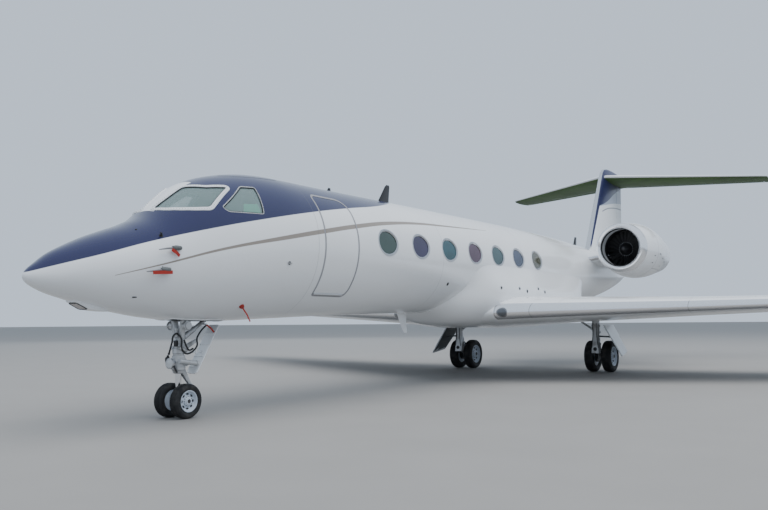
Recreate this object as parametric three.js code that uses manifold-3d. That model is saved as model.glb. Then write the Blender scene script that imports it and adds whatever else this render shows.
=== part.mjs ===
// A twin-engine business jet, parked on its landing gear.
// Millimetres, +Z up, nose towards -Y, port side +X. Stations run aft from the nose tip.
import * as THREE from "three";
import { mergeVertices } from "three/addons/utils/BufferGeometryUtils.js";
import Module from "manifold-3d";

const wasm = await Module();
wasm.setup();

// Overall layout
const OVERALL_LENGTH = 29020;
const SEAT = 0.3; // gap between pieces that touch
const SKIN = 90; // thickness of the pressure hull, frames and lining included
const HULL_SIDES = 24;
const FAR = 9000; // reach of cutting shapes

// Fuselage sections: station, crown height, height of the widest point, keel height, half width
const HULL = [
  [0, 2100, 2075, 2050, 25],
  [60, 2180, 2080, 1985, 100],
  [170, 2270, 2090, 1925, 180],
  [340, 2400, 2110, 1860, 280],
  [600, 2540, 2160, 1790, 400],
  [880, 2670, 2210, 1720, 510],
  [1160, 2780, 2260, 1660, 600],
  [1500, 2910, 2320, 1600, 700],
  [1800, 3065, 2380, 1555, 780],
  [2100, 3325, 2430, 1525, 855],
  [2450, 3600, 2500, 1500, 930],
  [2800, 3765, 2560, 1490, 1000],
  [3200, 3885, 2630, 1490, 1065],
  [3700, 3980, 2700, 1500, 1120],
  [4200, 4020, 2760, 1520, 1160],
  [4620, 4025, 2790, 1535, 1180],
  [5600, 4030, 2810, 1570, 1205],
  [6600, 4045, 2830, 1600, 1210],
  [9600, 4090, 2870, 1660, 1210],
  [12600, 4125, 2910, 1700, 1210],
  [15100, 4140, 2935, 1720, 1210],
  [17600, 4120, 2950, 1780, 1205],
  [18800, 4090, 2980, 1900, 1180],
  [20000, 4050, 3020, 2060, 1120],
  [21200, 4000, 3070, 2260, 1020],
  [22500, 3920, 3140, 2480, 870],
  [24000, 3820, 3250, 2790, 620],
  [25100, 3720, 3360, 3060, 400],
  [26200, 3600, 3450, 3320, 150],
];
const NOSE_JOINT = 1500;
const COCKPIT_JOINT = 4620;
const TAIL_JOINT = 17600;
const TAIL_END = 26200;
const COCKPIT_CAVITY = [1800, 5600]; // hull sections that bound the hollow inside, past the joints
const CABIN_CAVITY = [4200, 18800];
const AFT_CAVITY = [15100, 24000];
const DOOR_BAY = [4620, 6600];

// Cabin windows
const WINDOW_COUNT = 7;
const WINDOW_FIRST = { y: 6745, z: 2992 };
const WINDOW_STEP = { y: 1229, z: 20 };
const WINDOW_HALF = { y: 330, z: 245 };

// Port windscreen pane as points in space, and side window in side view (y, z)
const WINDSCREEN = [
  [135, 1943, 3174], [215, 2430, 3558], [470, 2663, 3564], [606, 3001, 3598],
  [743, 2516, 3207], [651, 2315, 3186], [528, 2147, 3172], [367, 2016, 3166],
];
const WINDSCREEN_OUTWARD = [0.479, -0.487, 0.728];
const SIDE_WINDOW = [[2722, 3232], [3240, 3637], [3510, 3655], [3438, 3192], [2795, 3168]];

// Entry door in side view (y, z)
const DOOR = [
  [4815, 1950], [5600, 1950], [5700, 1985], [5735, 2060], [5735, 3430], [5700, 3570],
  [5600, 3660], [5450, 3690], [4900, 3690], [4830, 3650], [4815, 3560],
];
const DOOR_CLEARANCE = 7;
const DOOR_HINGE = { x: 884, y: [4815, 5640], z: 1952, radius: 18, lug: 10 };
const DOOR_THRESHOLD = [[732, 1200], [4800, 5750], [1900, 2050]]; // cut in the floor where the door swings
const DOOR_OPEN_DEGREES = 140;
const TREAD = { count: 5, y: [4960, 5560], depth: 190, thick: 26, first: 2180, step: 290 };

// Belly fairing sections: station, keel height, half width
const FAIRING = [
  [9700, 1668, 700],
  [10300, 1440, 1080],
  [11000, 1335, 1330],
  [12500, 1300, 1420],
  [15200, 1300, 1420],
  [16600, 1370, 1350],
  [17600, 1560, 1190],
  [18400, 1850, 850],
];
const FAIRING_MIDDLE = 2150;
const FAIRING_CROWN = 3000;
const FAIRING_POWER = 2.6; // of the superellipse below the middle
const FAIRING_TUCK = 25; // its upper edge lies this far inside the hull

// Wing sections: x, leading edge station, height, chord, thickness ratio, cant in degrees
const WING = [
  [950, 10854, 1650, 6700, 0.115, 0],
  [2400, 11666, 1690, 5850, 0.112, 0],
  [5300, 13290, 1765, 4330, 0.108, 0],
  [9500, 15642, 1890, 2950, 0.102, 0],
  [13150, 17686, 2010, 1700, 0.095, 0],
  [13530, 17930, 2060, 1560, 0.09, 22],
  [13790, 18260, 2230, 1370, 0.088, 50],
  [13930, 18680, 2560, 1150, 0.085, 70],
  [14235, 19620, 3560, 620, 0.08, 76],
];
const WING_UPPER = 1.16; // share of the half thickness above the chord line
const WING_LOWER = 0.84;

// Chordwise stations of every aerofoil
const FOIL_STEPS = [0.0125, 0.06, 0.16, 0.32, 0.5, 0.66, 0.82];
const EDGE_HALF = 5; // half thickness of a trailing edge

// Flaps: x from and to, the station of their front face at each end, and how fast the outer end tapers
const FLAPS = {
  inner: { x: [1570, 5205], front: [16331, 16756], taper: 0.035 },
  outer: { x: [5315, 8825], front: [16774, 17515], taper: 0.055 },
};
const FLAP_BREAK = [[5200, 5320], [16830, 19000], [600, 2600]]; // open between the flaps, aft of their pins
const FLAP_AXIS = { aft: 15, up: 20 }; // from the lower front corner
const FLAP_GAP = { front: 24, side: 26 };
const AILERON = { x: [8900, 12650], share: 0.74 };
const NOSE_GAP = 11; // gap round the rounded nose of a balanced surface
const END_GAP = 25; // beyond the ends of an elevator, whose swept axis carries it sideways
const PIN = { radius: 8, sides: 8, gap: 0.5, reach: 36 }; // hinge pins, out of the ribs at a surface's ends

// Fin sections: height, leading edge station, chord, thickness ratio
const FIN = [
  [3550, 21340, 4700, 0.1],
  [4730, 22050, 3950, 0.1],
  [6950, 23390, 2740, 0.1],
];
const FIN_TIP = [
  [7000, 23430, 2700, 0.1],
  [7200, 23560, 2560, 0.098],
  [7350, 23780, 2280, 0.09],
  [7430, 24150, 1800, 0.075],
];
const RUDDER = { z: [4020, 6760], share: [0.735, 0.71] };

// Tailplane sections, from the middle out: x, leading edge station, height, chord, thickness ratio
const TAILPLANE = [
  [0, 23600, 7030, 3060, 0.1],
  [5120, 27259, 7075, 1690, 0.09],
  [5360, 27480, 7078, 1540, 0.08],
];
const ELEVATOR = { x: [330, 5080], share: 0.7 };

// Engines: axis, station of the inlet lip, and profiles as radius and distance aft of the lip
const ENGINE = { x: 2200, z: 3740, y: 18250, sides: 24 };
const COWL = [
  [665, 0], [705, 25], [745, 110], [785, 380], [850, 900], [890, 1600], [850, 2250],
  [745, 3050], [625, 3900], [600, 3890], [628, 2700], [628, 700], [580, 330], [610, 50],
];
const COWL_OUTSIDE = 9; // points of the profile on the outside
const CORE = [
  [0, 1020], [180, 1020], [180, 1060], [628 - SEAT, 1060], [628 - SEAT, 1300], [430, 1340],
  [430, 2700], [370, 3250], [150, 3700], [0, 3760],
];
const FAN = { radius: 600, front: 760, back: 1000, blades: 24, hub: 190, nose: 430 };

// Pylons: x, leading edge station, height, chord, thickness ratio
const PYLON = [
  [750, 18560, 3400, 4100, 0.085],
  [1900, 19350, 3640, 2700, 0.09],
];

// Nose gear
const NOSE_GEAR = { y: 2600, axle: 266.5, tyre: 266.5, rim: 138, width: 184, spread: 178 };
const NOSE_LEG = { radius: 78, foot: 960, top: 1700 };
const NOSE_FORK = { half: 125, top: 1560, foot: 1160, radius: 40 }; // arms that spread up to the bay
const NOSE_BRACE = { radius: 42, foot: 1180, back: 620, top: 1560 };
const NOSE_TRUNNION = { half: 230, radius: 60, z: 1420 };
const PISTON = { radius: 48, collar: 104, collarFoot: 680, boss: 62, bossHalf: 70 };
const TAXI_LAMP = { y: [-70, -190], radius: [62, 82], z: 840 };
const TORQUE_LINK = { radius: 26, top: [90, 730], knee: [230, 500], foot: [30, 310] };
const NOSE_DOOR = { outline: [[735, 1435], [760, 1435], [285, 670], [260, 670]], half: 118 };
const NOSE_DOOR_LINK = { aft: [40, 480], z: 1000, radius: 16 };

// Main gear
const MAIN_GEAR = { x: 2185, y: 16300, axle: 444.5, tyre: 444.5, rim: 235, width: 280, spread: 245 };
const MAIN_LEG = { y: 15880, radius: [95, 110], knee: 640, top: 1700 };
const MAIN_BRACE = { radius: 40, from: [-60, 0, 1190], to: [-640, -40, 1590] };
const MAIN_DOOR = { outline: [[2470, 1330], [2500, 1340], [2965, 590], [2925, 570]], y: [15620, 16480] };
const TYRE_SIDES = 20;
const NOSE_GEAR_AXLE = 30;
const MAIN_GEAR_AXLE = 48;
const AXLE_CLEARANCE = 0.6;
const BORE_SIDES = 16;

// Cabin and flight deck
const FLOOR = { y: [2300, 17300], z: [1950, 2140], thick: 40 }; // top surface, rising aft
const BULKHEAD = { y: [4240, 4290], doorway: 300, lintel: 3750 };
const PANEL = { outline: [[2420, 1900], [2700, 1900], [2560, 2900], [2520, 3060], [2150, 3060]], half: 780 };
const PILOT_SEAT = { x: 420, y: 3620 };
const CABIN_SEATS = { x: 450, first: 7350, pitch: 1830, facing: 500, count: 4, rail: [6700, 14900] };
const SEAT_WIDTH = 460;

// Blade aerials: height, leading edge station, chord, thickness ratio
const CROWN_AERIAL = [[4000, 8280, 330, 0.1], [4505, 8440, 170, 0.1]];
const BELLY_AERIAL = [[1210, 9030, 200, 0.1], [1760, 8880, 330, 0.1]];

// Surface finishes: colour, roughness, metalness
const FINISH = {
  white: [0xf2f3f4, 0.25, 0],
  navy: [0x232a55, 0.25, 0],
  metal: [0xc9ccd0, 0.25, 0.9],
  bare: [0xa6abb0, 0.45, 0.8],
  glass: [0x5f7d78, 0.08, 0],
  black: [0x17181a, 0.6, 0],
  rubber: [0x1b1b1c, 0.85, 0],
  titanium: [0x3c3d40, 0.4, 0.9],
  cream: [0xd8cdb8, 0.7, 0],
  carpet: [0x8d7f6c, 0.95, 0],
};

const aircraft = new THREE.Group();
aircraft.position.y = -OVERALL_LENGTH / 2;
const finishes = {};
for (const [name, [color, roughness, metalness]] of Object.entries(FINISH)) {
  finishes[name] = { color, roughness, metalness };
}

// Solid modelling helpers

function solidOf(points, faces) {
  let volume = 0;
  for (let i = 0; i < faces.length; i += 3) {
    const [a, b, c] = [points[faces[i]], points[faces[i + 1]], points[faces[i + 2]]];
    volume += new THREE.Vector3(...a).dot(new THREE.Vector3(...b).cross(new THREE.Vector3(...c)));
  }
  const outward = [];
  for (let i = 0; i < faces.length; i += 3) {
    const [a, b, c] = faces.slice(i, i + 3);
    outward.push(...(volume > 0 ? [a, b, c] : [a, c, b]));
  }
  return new wasm.Manifold(
    new wasm.Mesh({
      numProp: 3,
      vertProperties: new Float32Array(points.flat()),
      triVerts: new Uint32Array(outward),
    }),
  );
}

// Closed skin over rings of equal point counts, with a fan over each end
function loft(rings) {
  const count = rings[0].length;
  const points = rings.flat();
  const faces = [];
  for (let i = 0; i < rings.length - 1; i++) {
    for (let j = 0; j < count; j++) {
      const a = i * count + j;
      const b = i * count + ((j + 1) % count);
      faces.push(a, b, a + count, b, b + count, a + count);
    }
  }
  for (const end of [0, rings.length - 1]) {
    const middle = [0, 1, 2].map((k) => rings[end].reduce((sum, p) => sum + p[k], 0) / count);
    points.push(middle);
    for (let j = 0; j < count; j++) {
      const a = end * count + j;
      const b = end * count + ((j + 1) % count);
      faces.push(...(end === 0 ? [b, a] : [a, b]), points.length - 1);
    }
  }
  return solidOf(points, faces);
}

function solidFromGeometry(geometry) {
  const bare = geometry.index ? geometry.toNonIndexed() : geometry;
  bare.deleteAttribute("normal");
  bare.deleteAttribute("uv");
  const merged = mergeVertices(bare, 0.01);
  const place = merged.attributes.position;
  const points = [];
  for (let i = 0; i < place.count; i++) {
    points.push([place.getX(i), place.getY(i), place.getZ(i)]);
  }
  const faces = [];
  const index = merged.index.array;
  for (let i = 0; i < index.length; i += 3) {
    const [a, b, c] = [index[i], index[i + 1], index[i + 2]];
    if (a !== b && b !== c && a !== c) {
      faces.push(a, b, c);
    }
  }
  return solidOf(points, faces);
}

// Straight bar of an outline: along x the outline is (y, z), along y (x, z), along z (x, y)
function bar(outline, along, from, to) {
  const at = (level) =>
    outline.map(([a, b]) => {
      if (along === "x") return [level, a, b];
      if (along === "y") return [a, level, b];
      return [a, b, level];
    });
  return loft([at(from), at(to)]);
}

function block([x0, x1], [y0, y1], [z0, z1]) {
  return bar([[x0, y0], [x1, y0], [x1, y1], [x0, y1]], "z", z0, z1);
}

// Round rod between two points
function rod(from, to, radius, endRadius = radius, sides = 12) {
  const start = new THREE.Vector3(...from);
  const along = new THREE.Vector3(...to).sub(start).normalize();
  const across = Math.abs(along.z) > 0.9 ? new THREE.Vector3(0, 1, 0) : new THREE.Vector3(0, 0, 1);
  const u = new THREE.Vector3().crossVectors(along, across).normalize();
  const v = new THREE.Vector3().crossVectors(along, u);
  const ring = (centre, r) =>
    Array.from({ length: sides }, (_, k) => {
      const a = ((k + 0.5) / sides) * 2 * Math.PI;
      return [0, 1, 2].map((i) => {
        return centre[i] + r * (Math.cos(a) * u.getComponent(i) + Math.sin(a) * v.getComponent(i));
      });
    });
  return loft([ring(from, radius), ring(to, endRadius)]);
}

// Turned shape on an axis along "x" or "y"; the profile is radius and distance along the axis
function turned(profile, axis, [x, y, z], sides, closed = false, start = 0) {
  const points = profile.map(([r, d]) => new THREE.Vector2(r, d));
  if (closed) {
    points.push(points[0].clone());
  }
  const geometry = new THREE.LatheGeometry(points, sides, start);
  if (axis === "x") {
    geometry.rotateZ(-Math.PI / 2);
  }
  geometry.translate(x, y, z);
  return solidFromGeometry(geometry);
}

function ellipse(cy, cz, ry, rz, sides) {
  return Array.from({ length: sides }, (_, k) => {
    const a = (k / sides) * 2 * Math.PI;
    return [cy + ry * Math.cos(a), cz + rz * Math.sin(a)];
  });
}

// Outline moved in towards its middle by a set distance
function shrunk(outline, distance) {
  const middle = outline[0].map((_, k) => outline.reduce((sum, p) => sum + p[k], 0) / outline.length);
  return outline.map((point) => {
    const reach = Math.hypot(...point.map((value, k) => value - middle[k]));
    return point.map((value, k) => middle[k] + (value - middle[k]) * (1 - distance / reach));
  });
}

// Convex outline with every edge moved in by a set distance
function inset(outline, distance) {
  const count = outline.length;
  const edges = outline.map(([a, b], i) => {
    const [c, d] = outline[(i + 1) % count];
    const length = Math.hypot(c - a, d - b);
    const normal = [(b - d) / length, (c - a) / length];
    return { normal, level: normal[0] * a + normal[1] * b + distance };
  });
  return edges.map((next, i) => {
    const last = edges[(i + count - 1) % count];
    const cross = last.normal[0] * next.normal[1] - last.normal[1] * next.normal[0];
    return [
      (last.level * next.normal[1] - next.level * last.normal[1]) / cross,
      (next.level * last.normal[0] - last.level * next.normal[0]) / cross,
    ];
  });
}

// Bar of a spatial outline, reaching out and in along a direction
function slantedBar(corners, direction, side, out = 150, into = 170) {
  const ring = (distance) =>
    corners.map(([x, y, z]) => [
      side * (x + direction[0] * distance),
      y + direction[1] * distance,
      z + direction[2] * distance,
    ]);
  return loft([ring(out), ring(-into)]);
}

function union(first, ...others) {
  return others.reduce((sum, other) => sum.add(other), first);
}

function place(name, solid, finish) {
  const mesh = solid.getMesh();
  const geometry = new THREE.BufferGeometry();
  geometry.setAttribute("position", new THREE.BufferAttribute(mesh.vertProperties, mesh.numProp));
  geometry.setIndex(new THREE.BufferAttribute(mesh.triVerts, 1));
  geometry.computeVertexNormals();
  const item = new THREE.Mesh(geometry, new THREE.MeshStandardMaterial(finishes[finish]));
  item.name = name;
  aircraft.add(item);
}

// Fuselage

// Row of a table at a place between its rows
function rowAt(rows, at) {
  const i = Math.max(0, rows.findIndex((row) => row[0] > at) - 1);
  const t = (at - rows[i][0]) / (rows[i + 1][0] - rows[i][0]);
  return rows[i].map((value, k) => value + (rows[i + 1][k] - value) * t);
}

function hullRing([y, crown, wide, keel, half], inset, shift = 0) {
  return Array.from({ length: HULL_SIDES }, (_, k) => {
    const a = (k / HULL_SIDES) * 2 * Math.PI;
    const rise = (Math.sin(a) > 0 ? crown - wide : wide - keel) - inset;
    return [(half - inset) * Math.cos(a), y + shift, wide + rise * Math.sin(a)];
  });
}

function hull(from, to, inset = 0, shift = 0) {
  const rows = HULL.filter(([y]) => y >= from && y <= to);
  return loft(rows.map((row, i) => hullRing(row, inset, i === 0 ? shift : 0)));
}

const wholeHull = hull(0, TAIL_END, -SEAT);
const innerHull = hull(1800, 18800, SKIN + SEAT);

function windowOutline(i, shrink = 0) {
  const y = WINDOW_FIRST.y + WINDOW_STEP.y * i;
  const z = WINDOW_FIRST.z + WINDOW_STEP.z * i;
  return ellipse(y, z, WINDOW_HALF.y - shrink, WINDOW_HALF.z - shrink, 14);
}

function cockpitShell() {
  let shell = hull(NOSE_JOINT, COCKPIT_JOINT, 0, SEAT).subtract(hull(...COCKPIT_CAVITY, SKIN));
  for (const side of [-1, 1]) {
    shell = shell.subtract(slantedBar(WINDSCREEN, WINDSCREEN_OUTWARD, side));
    shell = shell.subtract(bar(SIDE_WINDOW, "x", side * 400, side * 1400));
  }
  return shell;
}

function cabinShell() {
  let shell = hull(COCKPIT_JOINT, TAIL_JOINT, 0, SEAT).subtract(hull(...CABIN_CAVITY, SKIN));
  for (const side of [-1, 1]) {
    for (let i = 0; i < WINDOW_COUNT; i++) {
      shell = shell.subtract(bar(windowOutline(i), "x", side * 900, side * 1400));
    }
  }
  const { x, y, z, radius } = DOOR_HINGE;
  const room = DOOR_CLEARANCE;
  const recess = rod([x, y[0] - room, z], [x, y[1] + room, z], radius + room);
  return shell.subtract(bar(DOOR, "x", 500, 1500)).subtract(recess).add(doorLugs());
}

// Lugs on the shell, at both ends of the door's hinge
function doorLugs() {
  const { x, y, z, lug } = DOOR_HINGE;
  const lugs = [[y[0], -1], [y[1], 1]].map(([end, way]) => {
    const at = (distance, inboard = 0) => [x - inboard, end + way * distance, z];
    return union(rod(at(SEAT), at(30), lug, lug, 8), rod(at(18), at(18, 45), lug, lug, 8));
  });
  return union(...lugs);
}

function entryDoor() {
  const skin = hull(...DOOR_BAY).subtract(hull(...CABIN_CAVITY, SKIN));
  const { x: hingeX, y: hingeY, z: hingeZ, radius } = DOOR_HINGE;
  const knuckle = rod([hingeX, hingeY[0], hingeZ], [hingeX, hingeY[1], hingeZ], radius);
  let door = skin.intersect(bar(inset(DOOR, DOOR_CLEARANCE), "x", 500, 1500)).add(knuckle);
  const tilt = THREE.MathUtils.degToRad(DOOR_OPEN_DEGREES);
  const along = [Math.cos(tilt), Math.sin(tilt)];
  const inner = hull(...DOOR_BAY, SKIN + 150);
  for (let i = 0; i < TREAD.count; i++) {
    const z = TREAD.first + TREAD.step * i;
    const x = innerWidthAt(z) + 30;
    const tip = [x + along[0] * TREAD.depth, z + along[1] * TREAD.depth];
    const lift = [-along[1] * TREAD.thick, along[0] * TREAD.thick];
    const outline = [
      [x, z], tip, [tip[0] + lift[0], tip[1] + lift[1]], [x + lift[0], z + lift[1]],
    ];
    door = door.add(bar(outline, "y", TREAD.y[0], TREAD.y[1]).subtract(inner));
  }
  return door;
}

// Half width inside the pressure hull at the doorway, at a given height
function innerWidthAt(z) {
  const [, crown, wide, keel, half] = HULL.find(([y]) => y === 5600);
  const rise = (z > wide ? crown - wide : wide - keel) - SKIN;
  return (half - SKIN) * Math.sqrt(1 - ((z - wide) / rise) ** 2);
}

function cockpitGlass(cutter) {
  return hull(1500, 4200, 10).subtract(hull(1500, 4200, SKIN - 12)).intersect(cutter);
}

// Seven window panes on the strip that holds them inside the wall
function cabinGlass(side) {
  const last = WINDOW_COUNT - 1;
  const ends = [WINDOW_FIRST.y - 420, WINDOW_FIRST.y + WINDOW_STEP.y * last + 420];
  const heights = [WINDOW_FIRST.z - 310, WINDOW_FIRST.z + WINDOW_STEP.z * last + 310];
  const lining = hull(5600, 17600, SKIN + SEAT).subtract(hull(5600, 17600, SKIN + 12));
  let glass = lining.intersect(block([side * 600, side * 1300], ends, heights));
  const pane = hull(5600, 17600, 22).subtract(hull(5600, 17600, SKIN + 6));
  for (let i = 0; i < WINDOW_COUNT; i++) {
    glass = glass.add(pane.intersect(bar(windowOutline(i, 2), "x", side * 900, side * 1400)));
  }
  return glass;
}

// Half of a fairing section from its keel up: a superellipse, then a flank that eases in against the hull
function fairingHalf(y, keel, half) {
  const low = 8;
  const high = 5;
  const top = rowAt(HULL, y)[4] - FAIRING_TUCK;
  const points = [];
  for (let k = 0; k < low; k++) {
    const a = (k / low) * (Math.PI / 2);
    const [out, down] = [Math.sin(a), Math.cos(a)].map((value) => value ** (2 / FAIRING_POWER));
    points.push([half * out, y, FAIRING_MIDDLE - (FAIRING_MIDDLE - keel) * down]);
  }
  for (let k = 0; k <= high; k++) {
    const t = k / high;
    const blend = 3 * t ** 2 - 2 * t ** 3;
    points.push([half + (top - half) * blend, y, FAIRING_MIDDLE + (FAIRING_CROWN - FAIRING_MIDDLE) * t]);
  }
  return points;
}

function fairingSolid() {
  return loft(
    FAIRING.map((row) => {
      const port = fairingHalf(...row);
      const starboard = port.slice(1).reverse().map(([x, y, z]) => [-x, y, z]);
      return [...port, ...starboard];
    }),
  );
}

// Aerofoils

function foilHalf(share, ratio) {
  const s = share;
  const shape = 0.2969 * Math.sqrt(s) - 0.126 * s - 0.3516 * s ** 2 + 0.2843 * s ** 3 - 0.1036 * s ** 4;
  return 5 * ratio * shape;
}

// Section with its leading edge at a point and its thickness along a unit vector
function foilRing([x, y, z], chord, ratio, normal, upper = 1, lower = 1, grow = 0) {
  const at = (share, height) => [
    x + normal[0] * height,
    y + share * chord,
    z + normal[1] * height,
  ];
  const over = FOIL_STEPS.map((s) => at(s, upper * foilHalf(s, ratio) * chord + EDGE_HALF * s + grow));
  const under = FOIL_STEPS.map((s) => at(s, -lower * foilHalf(s, ratio) * chord - EDGE_HALF * s - grow));
  const nose = at(-grow / chord, 0);
  const edge = [at(1, EDGE_HALF + grow), at(1, -EDGE_HALF - grow)];
  return [nose, ...over, edge[0], edge[1], ...under.reverse()];
}

function wingSolid(side, grow = 0) {
  return loft(
    WING.map(([x, y, z, chord, ratio, cant]) => {
      const lean = THREE.MathUtils.degToRad(cant);
      const normal = [-Math.sin(lean) * side, Math.cos(lean)];
      return foilRing([x * side, y, z], chord, ratio, normal, WING_UPPER, WING_LOWER, grow);
    }),
  );
}

function wingAt(x) {
  const [, y, z, chord, ratio] = rowAt(WING, x);
  return { y, z, chord, ratio };
}

// Region of a flap as seen from above; with a gap it is the room around it, which does not taper
function flapRegion(side, { x, front, taper }, gap = { front: 0, side: 0 }) {
  const slope = (front[1] - front[0]) / (x[1] - x[0]);
  const ends = [x[0] - gap.side, x[1] + gap.side];
  const edge = [front[0] - slope * gap.side - gap.front, front[1] + slope * gap.side - gap.front];
  const drawnIn = gap.side > 0 ? 0 : taper * FAR;
  const outline = [
    [side * ends[0], edge[0]],
    [side * ends[1], edge[1]],
    [side * (ends[1] - drawnIn), edge[1] + FAR],
    [side * ends[0], edge[0] + FAR],
  ];
  return bar(outline, "z", 600, 2600);
}

// Height of the wing's lower skin
function wingUnderside(x, y) {
  const row = wingAt(x);
  const share = (y - row.y) / row.chord;
  return row.z - WING_LOWER * foilHalf(share, row.ratio) * row.chord - EDGE_HALF * share;
}

// Ends of a flap's axis
function flapAxis(side, { x, front }) {
  return x.map((at, i) => [side * at, front[i] + FLAP_AXIS.aft, wingUnderside(at, front[i]) + FLAP_AXIS.up]);
}

// Pins on an axis between two end faces, standing out of the ribs beyond them; faces are square to x or z
function hingePins([start, end], face) {
  const axis = new THREE.Vector3(...end).sub(new THREE.Vector3(...start)).normalize();
  const square = Math.abs(axis.getComponent(face));
  const slant = Math.sqrt(1 - square ** 2);
  const clear = (PIN.gap + PIN.radius * slant) / square;
  const pins = [[start, -1], [end, 1]].map(([point, way]) => {
    const at = (distance) => point.map((value, k) => value + way * distance * axis.getComponent(k));
    return rod(at(clear), at(PIN.reach), PIN.radius, PIN.radius, PIN.sides);
  });
  return union(...pins);
}

// Section of the region aft of a rounded nose on a hinge line; u is aft, v across the surface
function noseOutline(radius, gap, reach, depth) {
  const r = radius + gap;
  const lip = gap > 0 ? -0.35 * radius : 0;
  const outline = [[reach, depth], [lip, depth]];
  for (let degrees = gap > 0 ? 112.5 : 90; degrees <= 270; degrees += 22.5) {
    const a = THREE.MathUtils.degToRad(degrees);
    if (gap === 0 || degrees < 250) {
      outline.push([r * Math.cos(a), r * Math.sin(a)]);
    }
  }
  outline.push([lip, -depth], [reach, -depth]);
  return outline;
}

function hingeOn({ y, chord, ratio }, share, upper = 1, lower = 1) {
  const half = foilHalf(share, ratio) * chord;
  return {
    y: y + share * chord,
    rise: ((upper - lower) / 2) * half,
    radius: 0.97 * ((upper + lower) / 2) * half,
  };
}

function aileronRegion(side, gap) {
  const rings = [AILERON.x[0] - gap, AILERON.x[1] + gap].map((x) => {
    const row = wingAt(x);
    const hinge = hingeOn(row, AILERON.share, WING_UPPER, WING_LOWER);
    return noseOutline(hinge.radius, gap, 2500, 600).map(([u, v]) => {
      return [side * x, hinge.y + u, row.z + hinge.rise + v];
    });
  });
  return loft(rings);
}

function aileronAxis(side) {
  return AILERON.x.map((x) => {
    const row = wingAt(x);
    const hinge = hingeOn(row, AILERON.share, WING_UPPER, WING_LOWER);
    return [side * x, hinge.y, row.z + hinge.rise];
  });
}

function wing(side) {
  let solid = wingSolid(side).subtract(wholeHull);
  for (const flap of Object.values(FLAPS)) {
    solid = solid.subtract(flapRegion(side, flap, FLAP_GAP)).add(hingePins(flapAxis(side, flap), 0));
  }
  const [x, ...rest] = FLAP_BREAK;
  return solid.subtract(block(x.map((at) => at * side), ...rest)).subtract(aileronRegion(side, NOSE_GAP))
    .add(hingePins(aileronAxis(side), 0));
}

function bellyFairing() {
  let solid = fairingSolid().subtract(wholeHull);
  for (const side of [-1, 1]) {
    solid = solid.subtract(wingSolid(side, SEAT));
  }
  return solid;
}

// Tail

function tailplaneSolid(grow = 0) {
  const starboard = TAILPLANE.slice(1).reverse().map(([x, ...rest]) => [-x, ...rest]);
  return loft(
    [...starboard, ...TAILPLANE].map(([x, y, z, chord, ratio]) => {
      return foilRing([x, y, z], chord, ratio, [0, 1], 1, 1, grow);
    }),
  );
}

function elevatorRegion(side, gap) {
  const end = gap > 0 ? END_GAP : 0;
  const rings = [ELEVATOR.x[0] - end, ELEVATOR.x[1] + end].map((x) => {
    const [, y, z, chord, ratio] = rowAt(TAILPLANE, x);
    const hinge = hingeOn({ y, chord, ratio }, ELEVATOR.share);
    return noseOutline(hinge.radius, gap, 2500, 500).map(([u, v]) => [side * x, hinge.y + u, z + v]);
  });
  return loft(rings);
}

function elevatorAxis(side) {
  return ELEVATOR.x.map((x) => {
    const [, y, z, chord] = rowAt(TAILPLANE, x);
    return [side * x, y + ELEVATOR.share * chord, z];
  });
}

function finSolid(rows) {
  return loft(rows.map(([z, y, chord, ratio]) => foilRing([0, y, z], chord, ratio, [1, 0])));
}

function rudderRegion(gap) {
  const rings = [RUDDER.z[0] - gap, RUDDER.z[1] + gap].map((z, i) => {
    const [, y, chord, ratio] = rowAt(FIN, z);
    const hinge = hingeOn({ y, chord, ratio }, RUDDER.share[i]);
    return noseOutline(hinge.radius, gap, 2500, 500).map(([u, v]) => [v, hinge.y + u, z]);
  });
  return loft(rings);
}

function stabiliser() {
  const tip = finSolid(FIN_TIP);
  let solid = tailplaneSolid();
  for (const side of [-1, 1]) {
    solid = solid.subtract(elevatorRegion(side, NOSE_GAP)).add(hingePins(elevatorAxis(side), 0));
  }
  return solid.add(tip);
}

function rudderAxis() {
  return RUDDER.z.map((z, i) => {
    const [, y, chord] = rowAt(FIN, z);
    return [0, y + RUDDER.share[i] * chord, z];
  });
}

function fin() {
  const blade = finSolid(FIN).subtract(wholeHull).subtract(rudderRegion(NOSE_GAP));
  return blade.add(hingePins(rudderAxis(), 2)).subtract(tailplaneSolid(SEAT));
}

// Engines

function enginePoint(side) {
  return [side * ENGINE.x, ENGINE.y, ENGINE.z];
}

function nacelle(side) {
  return turned(COWL, "y", enginePoint(side), ENGINE.sides, true);
}

function engineCore(side) {
  return turned(CORE, "y", enginePoint(side), ENGINE.sides);
}

function fan(side) {
  const [x, y, z] = enginePoint(side);
  const hubProfile = [
    [0, FAN.nose], [70, FAN.nose + 60], [140, FAN.nose + 180], [FAN.hub, FAN.front], [FAN.hub, FAN.back],
    [120, FAN.back], [120, 1020 - SEAT], [0, 1020 - SEAT],
  ];
  let solid = turned(hubProfile, "y", [x, y, z], 16);
  for (let k = 0; k < FAN.blades; k++) {
    const a = (k / FAN.blades) * 2 * Math.PI;
    solid = solid.add(fanBlade([x, y, z], a, side));
  }
  return solid;
}

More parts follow.
